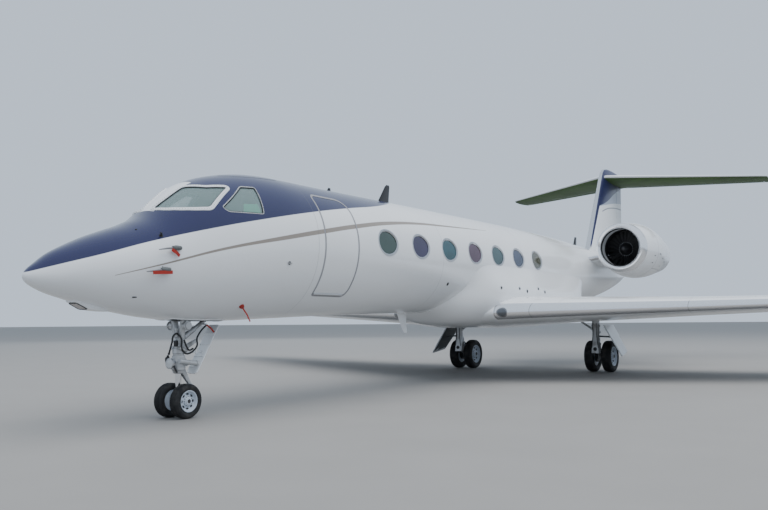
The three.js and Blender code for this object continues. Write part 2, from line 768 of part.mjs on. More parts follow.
// One blade: rings at the root and the tip, turned more across the flow towards the tip
function fanBlade([x, y, z], angle, side) {
  const rows = [[FAN.hub - 40, 30, 16], [FAN.radius - 4, 60, 9]];
  const out = [Math.cos(angle), Math.sin(angle)];
  const round = [-out[1] * side, out[0] * side];
  const rings = rows.map(([radius, pitch, thick]) => {
    const lean = THREE.MathUtils.degToRad(pitch);
    const corners = [[-105, -thick / 2], [105, -thick / 2], [105, thick / 2], [-105, thick / 2]];
    return corners.map(([c, t]) => {
      const aft = c * Math.cos(lean) - t * Math.sin(lean);
      const turn = c * Math.sin(lean) + t * Math.cos(lean);
      return [
        x + out[0] * radius + round[0] * turn * 0.8,
        y + (FAN.front + FAN.back) / 2 + aft,
        z + out[1] * radius + round[1] * turn * 0.8,
      ];
    });
  });
  return loft(rings);
}

function pylon(side) {
  const blade = loft(
    PYLON.map(([x, y, z, chord, ratio]) => foilRing([side * x, y, z], chord, ratio, [0, 1])),
  );
  const shadow = COWL.slice(0, COWL_OUTSIDE).map(([r, d]) => [r + SEAT, d]);
  const [last, first] = [shadow[shadow.length - 1], shadow[0]];
  const cowl = turned([[0, first[1]], ...shadow, [0, last[1]]], "y", enginePoint(side), ENGINE.sides);
  return blade.subtract(wholeHull).subtract(cowl);
}

// Landing gear

// Tyre standing on one of its flats, which is at its real radius
function tyre(radius, rim, width, x, y, z) {
  const half = width / 2;
  const tread = radius / Math.cos(Math.PI / TYRE_SIDES);
  const profile = [
    [rim, -half * 0.72], [rim + (radius - rim) * 0.45, -half], [rim + (radius - rim) * 0.8, -half * 0.88],
    [tread, -half * 0.5], [tread, half * 0.5], [rim + (radius - rim) * 0.8, half * 0.88],
    [rim + (radius - rim) * 0.45, half], [rim, half * 0.72],
  ];
  return turned(profile, "x", [x, y, z], TYRE_SIDES, true, Math.PI / TYRE_SIDES);
}

// Radius of a bore's corners, for a running clearance at its flats
function boreFor(axle) {
  return (axle + AXLE_CLEARANCE) / Math.cos(Math.PI / BORE_SIDES);
}

// Two rims on one axle
function wheelPair(gear, x, y, axleRadius) {
  const half = gear.width * 0.34;
  let solid = rod(
    [x - gear.spread - half, y, gear.axle], [x + gear.spread + half, y, gear.axle],
    axleRadius, axleRadius, 12,
  );
  for (const side of [-1, 1]) {
    const rim = gear.rim - SEAT;
    const profile = [
      [0, -half], [rim, -half], [rim, half], [rim * 0.8, half], [rim * 0.6, half * 0.4], [0, half * 0.4],
    ];
    const across = side > 0 ? profile : profile.map(([r, d]) => [r, -d]).reverse();
    const centre = [x + side * gear.spread, y, gear.axle];
    solid = solid.add(turned(across, "x", centre, TYRE_SIDES, false, Math.PI / TYRE_SIDES));
  }
  return solid;
}

function noseLeg() {
  const { y } = NOSE_GEAR;
  const { radius, foot, top } = NOSE_LEG;
  const { half, z } = NOSE_TRUNNION;
  const trunnion = rod([-half, y, z], [half, y, z], NOSE_TRUNNION.radius);
  const fork = [-1, 1].map((side) => {
    return rod([0, y, NOSE_FORK.foot], [side * NOSE_FORK.half, y, NOSE_FORK.top], NOSE_FORK.radius);
  });
  const strut = rod([0, y, foot], [0, y, top], radius, radius, 16);
  return union(strut, noseBrace(), trunnion, ...fork).subtract(wholeHull);
}

function noseBrace(grow = 0) {
  const { radius, foot, back, top } = NOSE_BRACE;
  return rod([0, NOSE_GEAR.y, foot], [0, NOSE_GEAR.y + back, top], radius + grow);
}

function noseSteering() {
  const { y, axle } = NOSE_GEAR;
  const { radius, collar, collarFoot, boss, bossHalf } = PISTON;
  const lamp = TAXI_LAMP;
  const at = ([aft, z]) => [0, y + aft, z];
  const top = NOSE_LEG.foot - SEAT;
  const parts = [
    rod([0, y, collarFoot], [0, y, top], collar, collar, 16),
    rod([0, y, axle], [0, y, top - 20], radius, radius, 16),
    rod([-bossHalf, y, axle], [bossHalf, y, axle], boss, boss, 16),
    rod([0, y + lamp.y[0], lamp.z], [0, y + lamp.y[1], lamp.z], ...lamp.radius, 16),
    rod(at(TORQUE_LINK.top), at(TORQUE_LINK.knee), TORQUE_LINK.radius),
    rod(at(TORQUE_LINK.knee), at(TORQUE_LINK.foot), TORQUE_LINK.radius),
  ];
  const bore = boreFor(NOSE_GEAR_AXLE);
  return union(...parts).subtract(rod([-200, y, axle], [200, y, axle], bore, bore, BORE_SIDES));
}

function noseDoor() {
  const { y } = NOSE_GEAR;
  const outline = NOSE_DOOR.outline.map(([aft, z]) => [y + aft, z]);
  const plate = bar(outline, "x", -NOSE_DOOR.half, NOSE_DOOR.half);
  const { aft: reach, z, radius } = NOSE_DOOR_LINK;
  const link = rod([0, y + reach[0], z], [0, y + reach[1], z], radius, radius, 8);
  return union(plate, link).subtract(wholeHull).subtract(noseLegShadow());
}

function noseLegShadow() {
  const { y } = NOSE_GEAR;
  const { foot, top } = NOSE_LEG;
  const radius = NOSE_LEG.radius + SEAT;
  return union(rod([0, y, foot], [0, y, top], radius, radius, 16), noseBrace(SEAT));
}

function mainStrut(side, grow = 0) {
  const { y, radius, knee, top } = MAIN_LEG;
  const x = side * MAIN_GEAR.x;
  return rod([x, y, knee - 60], [x, y, top], radius[0] + grow, radius[1] + grow, 16);
}

function mainLeg(side) {
  const { x, y, axle, spread, width } = MAIN_GEAR;
  const { y: front, knee } = MAIN_LEG;
  const { from, to, radius: braceRadius } = MAIN_BRACE;
  const at = (dx, py, z) => [side * (x + dx), py, z];
  const armHalf = spread - width / 2 - 30;
  const parts = [
    mainStrut(side),
    rod(at(0, front, knee), at(0, y, axle), 62, 56),
    rod(at(-armHalf, y, axle), at(armHalf, y, axle), 84, 84, 16),
    rod(at(0, front + 40, 1240), at(0, y - 60, axle + 110), 50, 40),
    rod(at(from[0], front + from[1], from[2]), at(to[0], front + to[1], to[2]), braceRadius),
  ];
  const bore = boreFor(MAIN_GEAR_AXLE);
  const hole = rod(at(-200, y, axle), at(200, y, axle), bore, bore, BORE_SIDES);
  return union(...parts).subtract(hole).subtract(wingSolid(side, SEAT)).subtract(wholeHull)
    .subtract(fairingSolid());
}

function mainDoor(side) {
  const outline = MAIN_DOOR.outline.map(([x, z]) => [x * side, z]);
  const plate = bar(outline, "y", ...MAIN_DOOR.y);
  const link = rod([side * MAIN_GEAR.x, MAIN_LEG.y, 1020], [side * 2690, MAIN_LEG.y, 1000], 24, 24, 8);
  return union(plate, link).subtract(mainStrut(side, SEAT)).subtract(wingSolid(side, SEAT));
}

// Cabin and flight deck

function floorAt(y) {
  return FLOOR.z[0] + ((y - FLOOR.y[0]) / (FLOOR.y[1] - FLOOR.y[0])) * (FLOOR.z[1] - FLOOR.z[0]);
}

function floorSlab(lift, thick) {
  const [front, back] = FLOOR.y;
  const [low, high] = FLOOR.z.map((z) => z + lift);
  return bar([[front, low - thick], [back, high - thick], [back, high], [front, low]], "x", -1100, 1100);
}

function cabinFloor() {
  return floorSlab(0, FLOOR.thick).intersect(innerHull).subtract(block(...DOOR_THRESHOLD));
}

function cockpitBulkhead() {
  const { y, doorway, lintel } = BULKHEAD;
  const wall = block([-1200, 1200], y, [1900, 4000]).intersect(innerHull);
  const opening = block([-doorway, doorway], [y[0] - 40, y[1] + 50], [1800, lintel]);
  return wall.subtract(opening).subtract(floorSlab(SEAT, 500));
}

function instrumentPanel() {
  const panel = bar(PANEL.outline, "x", -PANEL.half, PANEL.half);
  return panel.intersect(innerHull).subtract(floorSlab(SEAT, 500));
}

function seat(x, y, turn) {
  const base = floorAt(y) - 10;
  const outline = [
    [-60, base], [60, base], [60, base + 300], [280, base + 330], [290, base + 440], [-150, base + 430],
    [-290, base + 1130], [-400, base + 1110], [-260, base + 330], [-60, base + 300],
  ];
  const shape = new THREE.Shape(outline.map(([a, b]) => new THREE.Vector2(a * turn, b)));
  const geometry = new THREE.ExtrudeGeometry(shape, { depth: SEAT_WIDTH, bevelEnabled: false });
  geometry.rotateX(Math.PI / 2);
  geometry.rotateZ(Math.PI / 2);
  geometry.translate(x - SEAT_WIDTH / 2, y, 0);
  return solidFromGeometry(geometry).subtract(floorSlab(SEAT, 500));
}

function cabinSeats(side) {
  const { first, pitch, facing, count, rail: ends } = CABIN_SEATS;
  const x = side * CABIN_SEATS.x;
  const [low, high] = ends.map(floorAt);
  const outline = [[ends[0], low + SEAT], [ends[1], high + SEAT], [ends[1], high + 40], [ends[0], low + 40]];
  const rail = bar(outline, "x", x - 30, x + 30);
  const seats = [];
  for (let i = 0; i < count; i++) {
    seats.push(seat(x, first + pitch * i + (i % 2) * facing, i % 2 ? 1 : -1));
  }
  return union(rail, ...seats);
}

// Aerials

function aerial(rows) {
  return finSolid(rows).subtract(wholeHull);
}

// Assembly

place("nose_radome", hull(0, NOSE_JOINT), "navy");
place("cockpit_shell", cockpitShell(), "white");
place("cabin_shell", cabinShell(), "white");
place("aft_fuselage", hull(TAIL_JOINT, TAIL_END, 0, SEAT).subtract(hull(...AFT_CAVITY, SKIN)), "white");
place("belly_fairing", bellyFairing(), "white");
place("entry_door", entryDoor(), "white");
place("fin", fin(), "white");
place("rudder", finSolid(FIN).intersect(rudderRegion(0)), "white");
place("stabiliser", stabiliser(), "white");
place("cabin_floor", cabinFloor(), "carpet");
place("cockpit_bulkhead", cockpitBulkhead(), "cream");
place("instrument_panel", instrumentPanel(), "black");
place("crown_aerial", aerial(CROWN_AERIAL), "black");
place("belly_aerial", aerial(BELLY_AERIAL), "white");
place("nose_gear_leg", noseLeg(), "bare");
place("nose_gear_door", noseDoor(), "white");
place("nose_steering", noseSteering(), "bare");
place("nose_hubs", wheelPair(NOSE_GEAR, 0, NOSE_GEAR.y, NOSE_GEAR_AXLE), "metal");

for (const [side, name] of [[1, "left"], [-1, "right"]]) {
  const windscreen = slantedBar(shrunk(WINDSCREEN, 0.8), WINDSCREEN_OUTWARD, side);
  const sideWindow = bar(shrunk(SIDE_WINDOW, 0.8), "x", side * 400, side * 1400);
  place(`windscreen_${name}`, cockpitGlass(windscreen), "glass");
  place(`side_window_${name}`, cockpitGlass(sideWindow), "glass");
  place(`cabin_glass_${name}`, cabinGlass(side), "glass");
  place(`pilot_seat_${name}`, seat(side * PILOT_SEAT.x, PILOT_SEAT.y, -1), "cream");
  place(`cabin_seats_${name}`, cabinSeats(side), "cream");
  place(`wing_${name}`, wing(side), "white");
  for (const [flapName, flap] of Object.entries(FLAPS)) {
    place(`flap_${flapName}_${name}`, wingSolid(side).intersect(flapRegion(side, flap)), "white");
  }
  place(`aileron_${name}`, wingSolid(side).intersect(aileronRegion(side, 0)), "white");
  place(`elevator_${name}`, tailplaneSolid().intersect(elevatorRegion(side, 0)), "white");
  place(`pylon_${name}`, pylon(side), "white");
  place(`nacelle_${name}`, nacelle(side), "white");
  place(`engine_core_${name}`, engineCore(side), "titanium");
  place(`fan_${name}`, fan(side), "titanium");
  place(`main_gear_leg_${name}`, mainLeg(side), "bare");
  place(`main_gear_door_${name}`, mainDoor(side), "white");
  place(`main_hubs_${name}`, wheelPair(MAIN_GEAR, side * MAIN_GEAR.x, MAIN_GEAR.y, MAIN_GEAR_AXLE), "metal");
  for (const [offset, which] of [[1, "outer"], [-1, "inner"]]) {
    const x = side * (MAIN_GEAR.x + offset * MAIN_GEAR.spread);
    const { tyre: radius, rim, width, y, axle } = MAIN_GEAR;
    place(`main_tyre_${which}_${name}`, tyre(radius, rim, width, x, y, axle), "rubber");
  }
  const { tyre: radius, rim, width, y, axle, spread } = NOSE_GEAR;
  place(`nose_tyre_${name}`, tyre(radius, rim, width, side * spread, y, axle), "rubber");
}

export default aircraft;
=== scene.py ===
"""A long-range business jet, parked on its landing gear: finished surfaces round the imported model.

Metres, +Z up, nose towards -Y, port side +X. Stations run aft from the nose tip.
"""
import math

import bmesh
import bpy
import numpy as np
from mathutils import Matrix, Vector


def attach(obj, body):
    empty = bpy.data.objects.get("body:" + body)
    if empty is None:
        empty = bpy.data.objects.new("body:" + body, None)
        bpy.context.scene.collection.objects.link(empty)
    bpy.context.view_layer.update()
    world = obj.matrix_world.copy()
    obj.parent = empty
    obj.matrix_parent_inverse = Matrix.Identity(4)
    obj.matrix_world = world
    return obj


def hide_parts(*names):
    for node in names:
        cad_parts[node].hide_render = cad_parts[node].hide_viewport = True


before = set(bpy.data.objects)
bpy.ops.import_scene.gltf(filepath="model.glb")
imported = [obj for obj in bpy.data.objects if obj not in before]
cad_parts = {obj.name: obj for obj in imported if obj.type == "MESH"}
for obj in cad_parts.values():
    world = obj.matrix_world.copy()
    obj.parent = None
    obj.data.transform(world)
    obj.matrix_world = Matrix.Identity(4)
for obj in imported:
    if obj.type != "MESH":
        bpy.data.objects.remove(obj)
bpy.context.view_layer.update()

AFT = -14.51  # Y of a point is its station plus this
SIDES = {"left": 1, "right": -1}

# Fuselage sections: station, crown height, height of the widest point, keel height, half width
HULL = np.array([
    [0, 2.075, 2.075, 2.075, 0],
    [0.06, 2.18, 2.08, 1.985, 0.1],
    [0.17, 2.27, 2.09, 1.925, 0.18],
    [0.34, 2.4, 2.11, 1.86, 0.28],
    [0.6, 2.54, 2.16, 1.79, 0.4],
    [0.88, 2.67, 2.21, 1.72, 0.51],
    [1.16, 2.78, 2.26, 1.66, 0.6],
    [1.5, 2.91, 2.32, 1.6, 0.7],
    [1.8, 3.065, 2.38, 1.555, 0.78],
    [2.1, 3.325, 2.43, 1.525, 0.855],
    [2.45, 3.6, 2.5, 1.5, 0.93],
    [2.8, 3.765, 2.56, 1.49, 1.0],
    [3.2, 3.885, 2.63, 1.49, 1.065],
    [3.7, 3.98, 2.7, 1.5, 1.12],
    [4.2, 4.02, 2.76, 1.52, 1.16],
    [4.62, 4.025, 2.79, 1.535, 1.18],
    [5.6, 4.03, 2.81, 1.57, 1.205],
    [6.6, 4.045, 2.83, 1.6, 1.21],
    [9.6, 4.09, 2.87, 1.66, 1.21],
    [12.6, 4.125, 2.91, 1.7, 1.21],
    [15.1, 4.14, 2.935, 1.72, 1.21],
    [17.6, 4.12, 2.95, 1.78, 1.205],
    [18.8, 4.09, 2.98, 1.9, 1.18],
    [20.0, 4.05, 3.02, 2.06, 1.12],
    [21.2, 4.0, 3.07, 2.26, 1.02],
    [22.5, 3.92, 3.14, 2.48, 0.87],
    [24.0, 3.82, 3.25, 2.79, 0.62],
    [25.1, 3.72, 3.36, 3.06, 0.4],
    [26.2, 3.6, 3.45, 3.32, 0.15],
])
SKIN = 0.09
CAVITY = (1.9, 18.6)
TAIL_END = 26.2

# Openings in the fuselage
WINDOW_COUNT = 7
WINDOW_FIRST = (6.745, 2.992)
WINDOW_STEP = (1.229, 0.02)
WINDOW_HALF = (0.33, 0.245)
WINDSCREEN = [
    (0.135, 1.943, 3.174), (0.215, 2.43, 3.558), (0.47, 2.663, 3.564), (0.606, 3.001, 3.598),
    (0.743, 2.516, 3.207), (0.651, 2.315, 3.186), (0.528, 2.147, 3.172), (0.367, 2.016, 3.166),
]
WINDSCREEN_OUTWARD = (0.479, -0.487, 0.728)
SCREEN_POST = {"stations": (1.9, 2.62), "above": 3.05, "half": 0.2}  # white strip between the windscreens
SIDE_WINDOW = [(2.722, 3.232), (3.24, 3.637), (3.51, 3.655), (3.438, 3.192), (2.795, 3.168)]
DOOR = [(4.815, 1.95), (5.735, 1.95), (5.735, 3.69), (4.815, 3.69)]
DOOR_CORNERS = (0.01, 0.11, 0.25, 0.1)  # corner radii, in the outline's order
DOOR_GAP = 0.007
DOOR_OPEN = 140  # degrees
TREADS = {"count": 5, "y": (4.96, 5.56), "depth": 0.19, "thick": 0.026, "first": 2.18, "step": 0.29}
DOOR_HINGE = {"x": 0.884, "y": (4.815, 5.64), "z": 1.952, "radius": 0.018}
PANE_LAP = 0.012  # the panes reach this far past their openings

# Mouldings round the openings: distance out from the edge, and lift off the skin
MOULDINGS = {
    "cabin": [(-0.024, -0.03), (-0.024, -0.012), (-0.008, 0.003), (0.018, 0.005), (0.026, -0.004)],
    "windscreen": [(-0.002, -0.03), (-0.002, 0.008), (0.004, 0.012), (0.052, 0.01), (0.06, -0.004)],
    "side_window": [(0.0, -0.03), (0.0, 0.003), (0.003, 0.005), (0.009, 0.004), (0.012, -0.004)],
    "gasket": [(-0.014, -0.02), (-0.014, -0.004), (-0.002, 0.002), (-0.002, -0.02)],
    "door": [(0.001, -0.004), (0.001, 0.002), (0.036, 0.002), (0.036, -0.004)],
    "nose_bay": [(-0.004, -0.01), (-0.004, 0.012), (0.01, 0.012), (0.014, -0.004)],
}

# Belly fairing sections: station, keel height, half width
FAIRING = np.array([
    [9.7, 1.668, 0.7],
    [10.3, 1.44, 1.08],
    [11.0, 1.335, 1.33],
    [12.5, 1.3, 1.42],
    [15.2, 1.3, 1.42],
    [16.6, 1.37, 1.35],
    [17.6, 1.56, 1.19],
    [18.4, 1.85, 0.85],
])
FAIRING_MIDDLE, FAIRING_CROWN, FAIRING_POWER = 2.15, 3.0, 2.6
FAIRING_TUCK = 0.025  # its upper edge lies this far inside the hull
FAIRED_WINDOW = 3  # the first window that the fairing's edge passes

# Wing sections: x, leading edge station, height, chord, thickness ratio, cant in degrees
WING = np.array([
    [0.95, 10.854, 1.65, 6.7, 0.115, 0],
    [2.4, 11.666, 1.69, 5.85, 0.112, 0],
    [5.3, 13.29, 1.765, 4.33, 0.108, 0],
    [9.5, 15.642, 1.89, 2.95, 0.102, 0],
    [13.15, 17.686, 2.01, 1.7, 0.095, 0],
    [13.53, 17.93, 2.06, 1.56, 0.09, 22],
    [13.79, 18.26, 2.23, 1.37, 0.088, 50],
    [13.93, 18.68, 2.56, 1.15, 0.085, 70],
    [14.235, 19.62, 3.56, 0.62, 0.08, 76],
])
FLAT_ROWS = 5  # rows of the table before the winglet
WING_FACES = (1.16, 0.84)  # shares of the half thickness above and below the chord line
EDGE_HALF = 0.005
LANDING_LIGHT = {"x": 1.49, "z": 1.67, "radius": 0.095}
EDGE_JOINTS = (1.335, 2.05, 5.26, 8.86, 12.9)  # places along the span where lengths of polished edge meet
FLAPS = {
    "inner": {"x": (1.57, 5.205), "front": (16.331, 16.756), "taper": 0.035},
    "outer": {"x": (5.315, 8.825), "front": (16.774, 17.515), "taper": 0.055},
}
FLAP_GAP = {"front": 0.024, "side": 0.026}
FLAP_REACH = 9  # the cutters of the flaps go this far aft
FLAP_BREAK = ((5.18, 5.34), (16.83, 19.0))  # x and station of the piece of wing left out between the flaps
AILERON = {"x": (8.9, 12.65), "share": 0.74}
NOSE_GAP = 0.011  # room round the nose of a control surface
END_GAP = 0.025  # room at the ends of an elevator

# Fin sections: height, leading edge station, chord, thickness ratio
FIN = np.array([[3.55, 21.34, 4.7, 0.1], [4.73, 22.05, 3.95, 0.1], [6.95, 23.39, 2.74, 0.1]])
FIN_TIP = np.array([
    [6.95, 23.39, 2.74, 0.1],
    [7.2, 23.56, 2.56, 0.098],
    [7.35, 23.78, 2.28, 0.09],
    [7.43, 24.15, 1.8, 0.075],
])
RUDDER = {"z": (4.02, 6.76), "share": (0.735, 0.71)}

# Tailplane sections: x, leading edge station, height, chord, thickness ratio
TAILPLANE = np.array([
    [0, 23.6, 7.03, 3.06, 0.1], [5.12, 27.259, 7.075, 1.69, 0.09], [5.36, 27.48, 7.078, 1.54, 0.08],
])
ELEVATOR = {"x": (0.33, 5.08), "share": 0.7}

# Engines: axis, lip station, and profiles as radius and distance aft of the lip
ENGINE = (2.2, 18.25, 3.74)
COWL = [
    (0.665, 0), (0.705, 0.025), (0.745, 0.11), (0.785, 0.38), (0.85, 0.9), (0.89, 1.6), (0.85, 2.25),
    (0.745, 3.05), (0.625, 3.9),
]
DUCT = [(0.6, 3.89), (0.628, 2.7), (0.628, 0.7), (0.58, 0.33), (0.61, 0.05), (0.665, 0)]
CORE = [
    (0.6277, 1.06), (0.6277, 1.3), (0.43, 1.34), (0.43, 2.7), (0.37, 3.25), (0.15, 3.7), (0.001, 3.76),
]
LIP_REACH = 0.36  # how far aft the polished lip goes on the outside
# Slot 4 is a near-black finish: just aft of the lip it is a painted shadow and painted reflection of the lip,
# and round the fan it stands for the fan case and its shade.
INTAKE_BANDS = ((0.09, 1), (0.2, 4), (0.56, 2), (1.2, 4))  # reach aft of the lip and slot, on the inside
FAN = {"plane": 0.88, "blades": 24}
SPINNER = [
    (0.001, 0.43), (0.03, 0.436), (0.066, 0.462), (0.105, 0.52), (0.15, 0.61), (0.17, 0.66), (0.195, 0.73),
    (0.206, 0.762), (0.21, 0.78), (0.19, 1.0), (0.1, 1.0), (0.1, 1.0197), (0.001, 1.0197),
]
FAN_BLADE = [  # radius, turn across the flow in degrees, thickness and chord
    (0.165, 30, 0.024, 0.17), (0.3, 38, 0.017, 0.17), (0.45, 46, 0.012, 0.165), (0.592, 54, 0.008, 0.15),
]
BLADE_FORM = [(-0.5, 0.06), (-0.25, 0.5), (0, 0.5), (0.25, 0.4), (0.5, 0.05)]  # shares of chord, thickness
# Distance aft of the lip, and degrees up from level on the outer side
LATCHES = [(1.1, -16), (1.1, -32), (1.55, -10), (1.95, -18), (1.95, -36), (2.4, -25)]
DRAIN_MAST = (2.1, -12)
PYLON = np.array([[0.75, 18.56, 3.4, 4.1, 0.085], [1.9, 19.35, 3.64, 2.7, 0.09]])

# Landing gear
NOSE_GEAR = {"y": 2.6, "axle": 0.2665, "tyre": 0.2665, "rim": 0.162, "width": 0.184, "spread": 0.178}
MAIN_GEAR = {
    "x": 2.185, "y": 16.3, "front": 15.88, "axle": 0.4445, "tyre": 0.4445, "rim": 0.272, "width": 0.28,
    "spread": 0.245,
}  # "front" is the station of the strut
MAIN_DOOR = [(15.62, 1.33), (16.48, 1.33), (16.26, 0.58), (15.56, 0.47)]  # station and height of its corners
MAIN_DOOR_TOP = (2.47, 1.33)  # x and height of its upper edge
MAIN_DOOR_LEAN = 0.598  # how far it leans out for each metre down


# Curves and sections

def spline(knots, values, at):
    """Smooth curve through the values at the knots, read off at one place or at many."""
    knots, values, at = (np.asarray(a, float) for a in (knots, values, at))
    slopes = np.gradient(values, knots, axis=0)
    i = np.clip(np.searchsorted(knots, at, side="right") - 1, 0, len(knots) - 2)
    width = knots[i + 1] - knots[i]
    t = (at - knots[i]) / width
    if values.ndim > 1:
        t, width = t[..., None], width[..., None]
    a, b = values[i], values[i + 1]
    blend = 3 * t**2 - 2 * t**3
    turns = (t**3 - 2 * t**2 + t) * slopes[i] + (t**3 - t**2) * slopes[i + 1]
    return (1 - blend) * a + blend * b + width * turns


def table_row(rows, at):
    """Straight-line row of a table of sections, with the first column given."""
    rows = np.asarray(rows)
    return np.array([np.interp(at, rows[:, 0], column) for column in rows.T])


def hull_section(station):
    """Crown, widest height, keel and half width."""
    return spline(np.sqrt(HULL[:, 0]), HULL[:, 1:], np.sqrt(np.maximum(station, 0)))


def hull_ring(station, sides, inset=0.0):
    crown, wide, keel, half = hull_section(station)
    angle = np.arange(sides) / sides * 2 * math.pi
    rise = np.where(np.sin(angle) > 0, crown - wide, wide - keel) - inset
    x = (half - inset) * np.cos(angle)
    return np.column_stack([x, np.full(sides, station + AFT), wide + rise * np.sin(angle)])


def hull_depth(points):
    """Below 1 inside the hull and above 1 outside it."""
    x, y, z = np.moveaxis(np.asarray(points, float), -1, 0)
    crown, wide, keel, half = np.moveaxis(hull_section(np.clip(y - AFT, 1e-4, TAIL_END)), -1, 0)
    rise = np.where(z > wide, crown - wide, wide - keel)
    return (x / half) ** 2 + ((z - wide) / rise) ** 2


def hull_normal(points):
    points = np.asarray(points, float)
    step = 1e-3
    grad = np.stack(
        [hull_depth(points + step * axis) - hull_depth(points - step * axis) for axis in np.eye(3)], axis=-1
    )
    return grad / np.linalg.norm(grad, axis=-1, keepdims=True)


def onto_hull(points, direction, reach=0.9):
    """Points moved along a direction until they meet the hull, found from outside by halving."""
    points, direction = np.asarray(points, float), np.asarray(direction, float)
    far, near = np.full(points.shape[:-1], reach), np.full(points.shape[:-1], -reach)
    for _ in range(30):
        middle = (far + near) / 2
        outside = hull_depth(points + middle[..., None] * direction) > 1
        far, near = np.where(outside, middle, far), np.where(outside, near, middle)
    return points + ((far + near) / 2)[..., None] * direction


def rounded(corners, radii, steps=7):
    """Outline with its corners rounded; works on corners in a plane or in space."""
    corners = [np.asarray(c, float) for c in corners]
    points = []
    for i, corner in enumerate(corners):
        before, after = corners[i - 1] - corner, corners[(i + 1) % len(corners)] - corner
        before, after = before / np.linalg.norm(before), after / np.linalg.norm(after)
        half = math.acos(np.clip(np.dot(before, after), -1, 1)) / 2
        run = radii[i] / math.tan(half)
        start, end = corner + before * run, corner + after * run
        for t in np.linspace(0, 1, steps):
            pull = 2 * t * (1 - t)
            points.append((1 - t) ** 2 * start + pull * corner + t**2 * end)
    return np.array(points)


def distances(points):
    """How far each point of a path is from its start, walked along it."""
    return np.concatenate([[0], np.cumsum(np.linalg.norm(np.diff(points, axis=0), axis=1))])


def resampled(outline, count):
    """Closed outline as that many points, evenly spaced."""
    loop = np.vstack([outline, outline[:1]])
    walked = distances(loop)
    at = np.linspace(0, walked[-1], count, endpoint=False)
    return np.column_stack([np.interp(at, walked, column) for column in loop.T])


def curved(points, steps=40):
    """Smooth run through a few points in space."""
    points = np.array(points, float)
    walked = distances(points)
    return spline(walked, points, np.linspace(0, walked[-1], steps))


def smooth_profile(profile, steps=8):
    """Profile of a turned part with rounded runs between its points."""
    points = np.array(profile)
    walked = distances(points)
    at = np.concatenate([np.linspace(a, b, steps, endpoint=False) for a, b in zip(walked[:-1], walked[1:])])
    return spline(walked, points, np.append(at, walked[-1]))


def outward(outline, direction):
    """Directions out of an outline at its points, square to the given one."""
    along = np.roll(outline, -1, axis=0) - np.roll(outline, 1, axis=0)
    away = np.cross(along, np.asarray(direction, float))
    away /= np.linalg.norm(away, axis=1, keepdims=True)
    return -away if np.sum(away * (outline - outline.mean(axis=0))) < 0 else away


def grown(outline, distance, direction):
    """Outline moved out, or in, in its own plane."""
    return outline + outward(outline, direction) * distance


def softened(outline, count, reach):
    """Closed outline with its corners eased over that distance to each side."""
    points = resampled(np.asarray(outline, float), count)
    spacing = np.linalg.norm(points[1] - points[0])
    span = int(round(reach / spacing))
    return sum(np.roll(points, k, axis=0) for k in range(-span, span + 1)) / (2 * span + 1)


def side_outline(outline, side):
    """Side view outline (station, z) as points in space, well outside the hull."""
    return np.array([(side * 0.9, y + AFT, z) for y, z in outline])


# Meshes

def loft(rings, caps=True):
    """Points and faces of a skin over closed rings of equal length."""
    rings = np.asarray(rings)
    count, width = rings.shape[:2]
    faces = [
        (i * width + j, i * width + (j + 1) % width, (i + 1) * width + (j + 1) % width, (i + 1) * width + j)
        for i in range(count - 1)
        for j in range(width)
    ]
    if caps:
        faces += [tuple(range(width)), tuple(range((count - 1) * width, count * width))]
    return rings.reshape(-1, 3), faces


class Shape:
    """Mesh in the making, of one or more closed skins."""

    def __init__(self):
        self.points, self.faces, self.slots = [], [], []

    def add(self, skin, slot=0):
        points, faces = skin
        base = len(self.points)
        self.points += [tuple(p) for p in points]
        self.faces += [tuple(base + i for i in face) for face in faces]
        self.slots += list(slot) if hasattr(slot, "__len__") else [slot] * len(faces)
        return self

    def bars(self, origin, parts, side=1, turn=1):
        """Adds bars; each is what makes it, its two ends seen from the origin, and its sizes."""
        place, flip = np.asarray(origin, float), np.array([side, turn, 1])
        for make, start, end, *sizes in parts:
            self.add(make(place + flip * start, place + flip * end, *sizes))
        return self

    def piece(self, name, materials, body="root", nodes=(), slot=None, crease=35):
        """Object of the skins; without a body it isn't handed over yet."""
        mesh = bpy.data.meshes.new(name)
        mesh.from_pydata(self.points, [], self.faces)
        for material in materials:
            mesh.materials.append(material)
        mesh.polygons.foreach_set("material_index", self.slots)
        work = bmesh.new()
        work.from_mesh(mesh)
        bmesh.ops.remove_doubles(work, verts=work.verts, dist=1e-6)
        bmesh.ops.recalc_face_normals(work, faces=work.faces)
        work.to_mesh(mesh)
        work.free()
        obj = placed(name, mesh)
        smooth(obj, crease)
        if body:
            finished(obj, body, nodes, slot)
        return obj


def smooth(obj, crease):
    mesh = obj.data
    mesh.polygons.foreach_set("use_smooth", [True] * len(mesh.polygons))
    mesh.set_sharp_from_angle(angle=math.radians(crease))


def placed(name, data):
    """New object in the scene."""
    obj = bpy.data.objects.new(name, data)
    bpy.context.scene.collection.objects.link(obj)
    return obj


def vertices_of(mesh):
    points = np.zeros(len(mesh.vertices) * 3)
    mesh.vertices.foreach_get("co", points)
    return points.reshape(-1, 3)


def finished(obj, body, nodes=(), slot=None):
    """Hands a piece over to its body and hides the nodes it stands for; the record slot is not used."""
    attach(obj, body)
    if nodes:
        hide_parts(*nodes)
    return obj


def made(name, skin, finish, body="root", nodes=(), slot=None):
    """One piece of one skin in one finish."""
    return Shape().add(skin).piece(name, [finish], body, nodes, slot)


def cutter(rings, slot=0, materials=()):
    return Shape().add(loft(rings), slot).piece("cutter", materials, body=None)


def evaluated(obj):
    """The object's mesh with its modifiers worked in, which are then removed."""
    graph = bpy.context.evaluated_depsgraph_get()
    mesh = bpy.data.meshes.new_from_object(obj.evaluated_get(graph), depsgraph=graph)
    obj.modifiers.clear()
    obj.data = mesh
    return obj


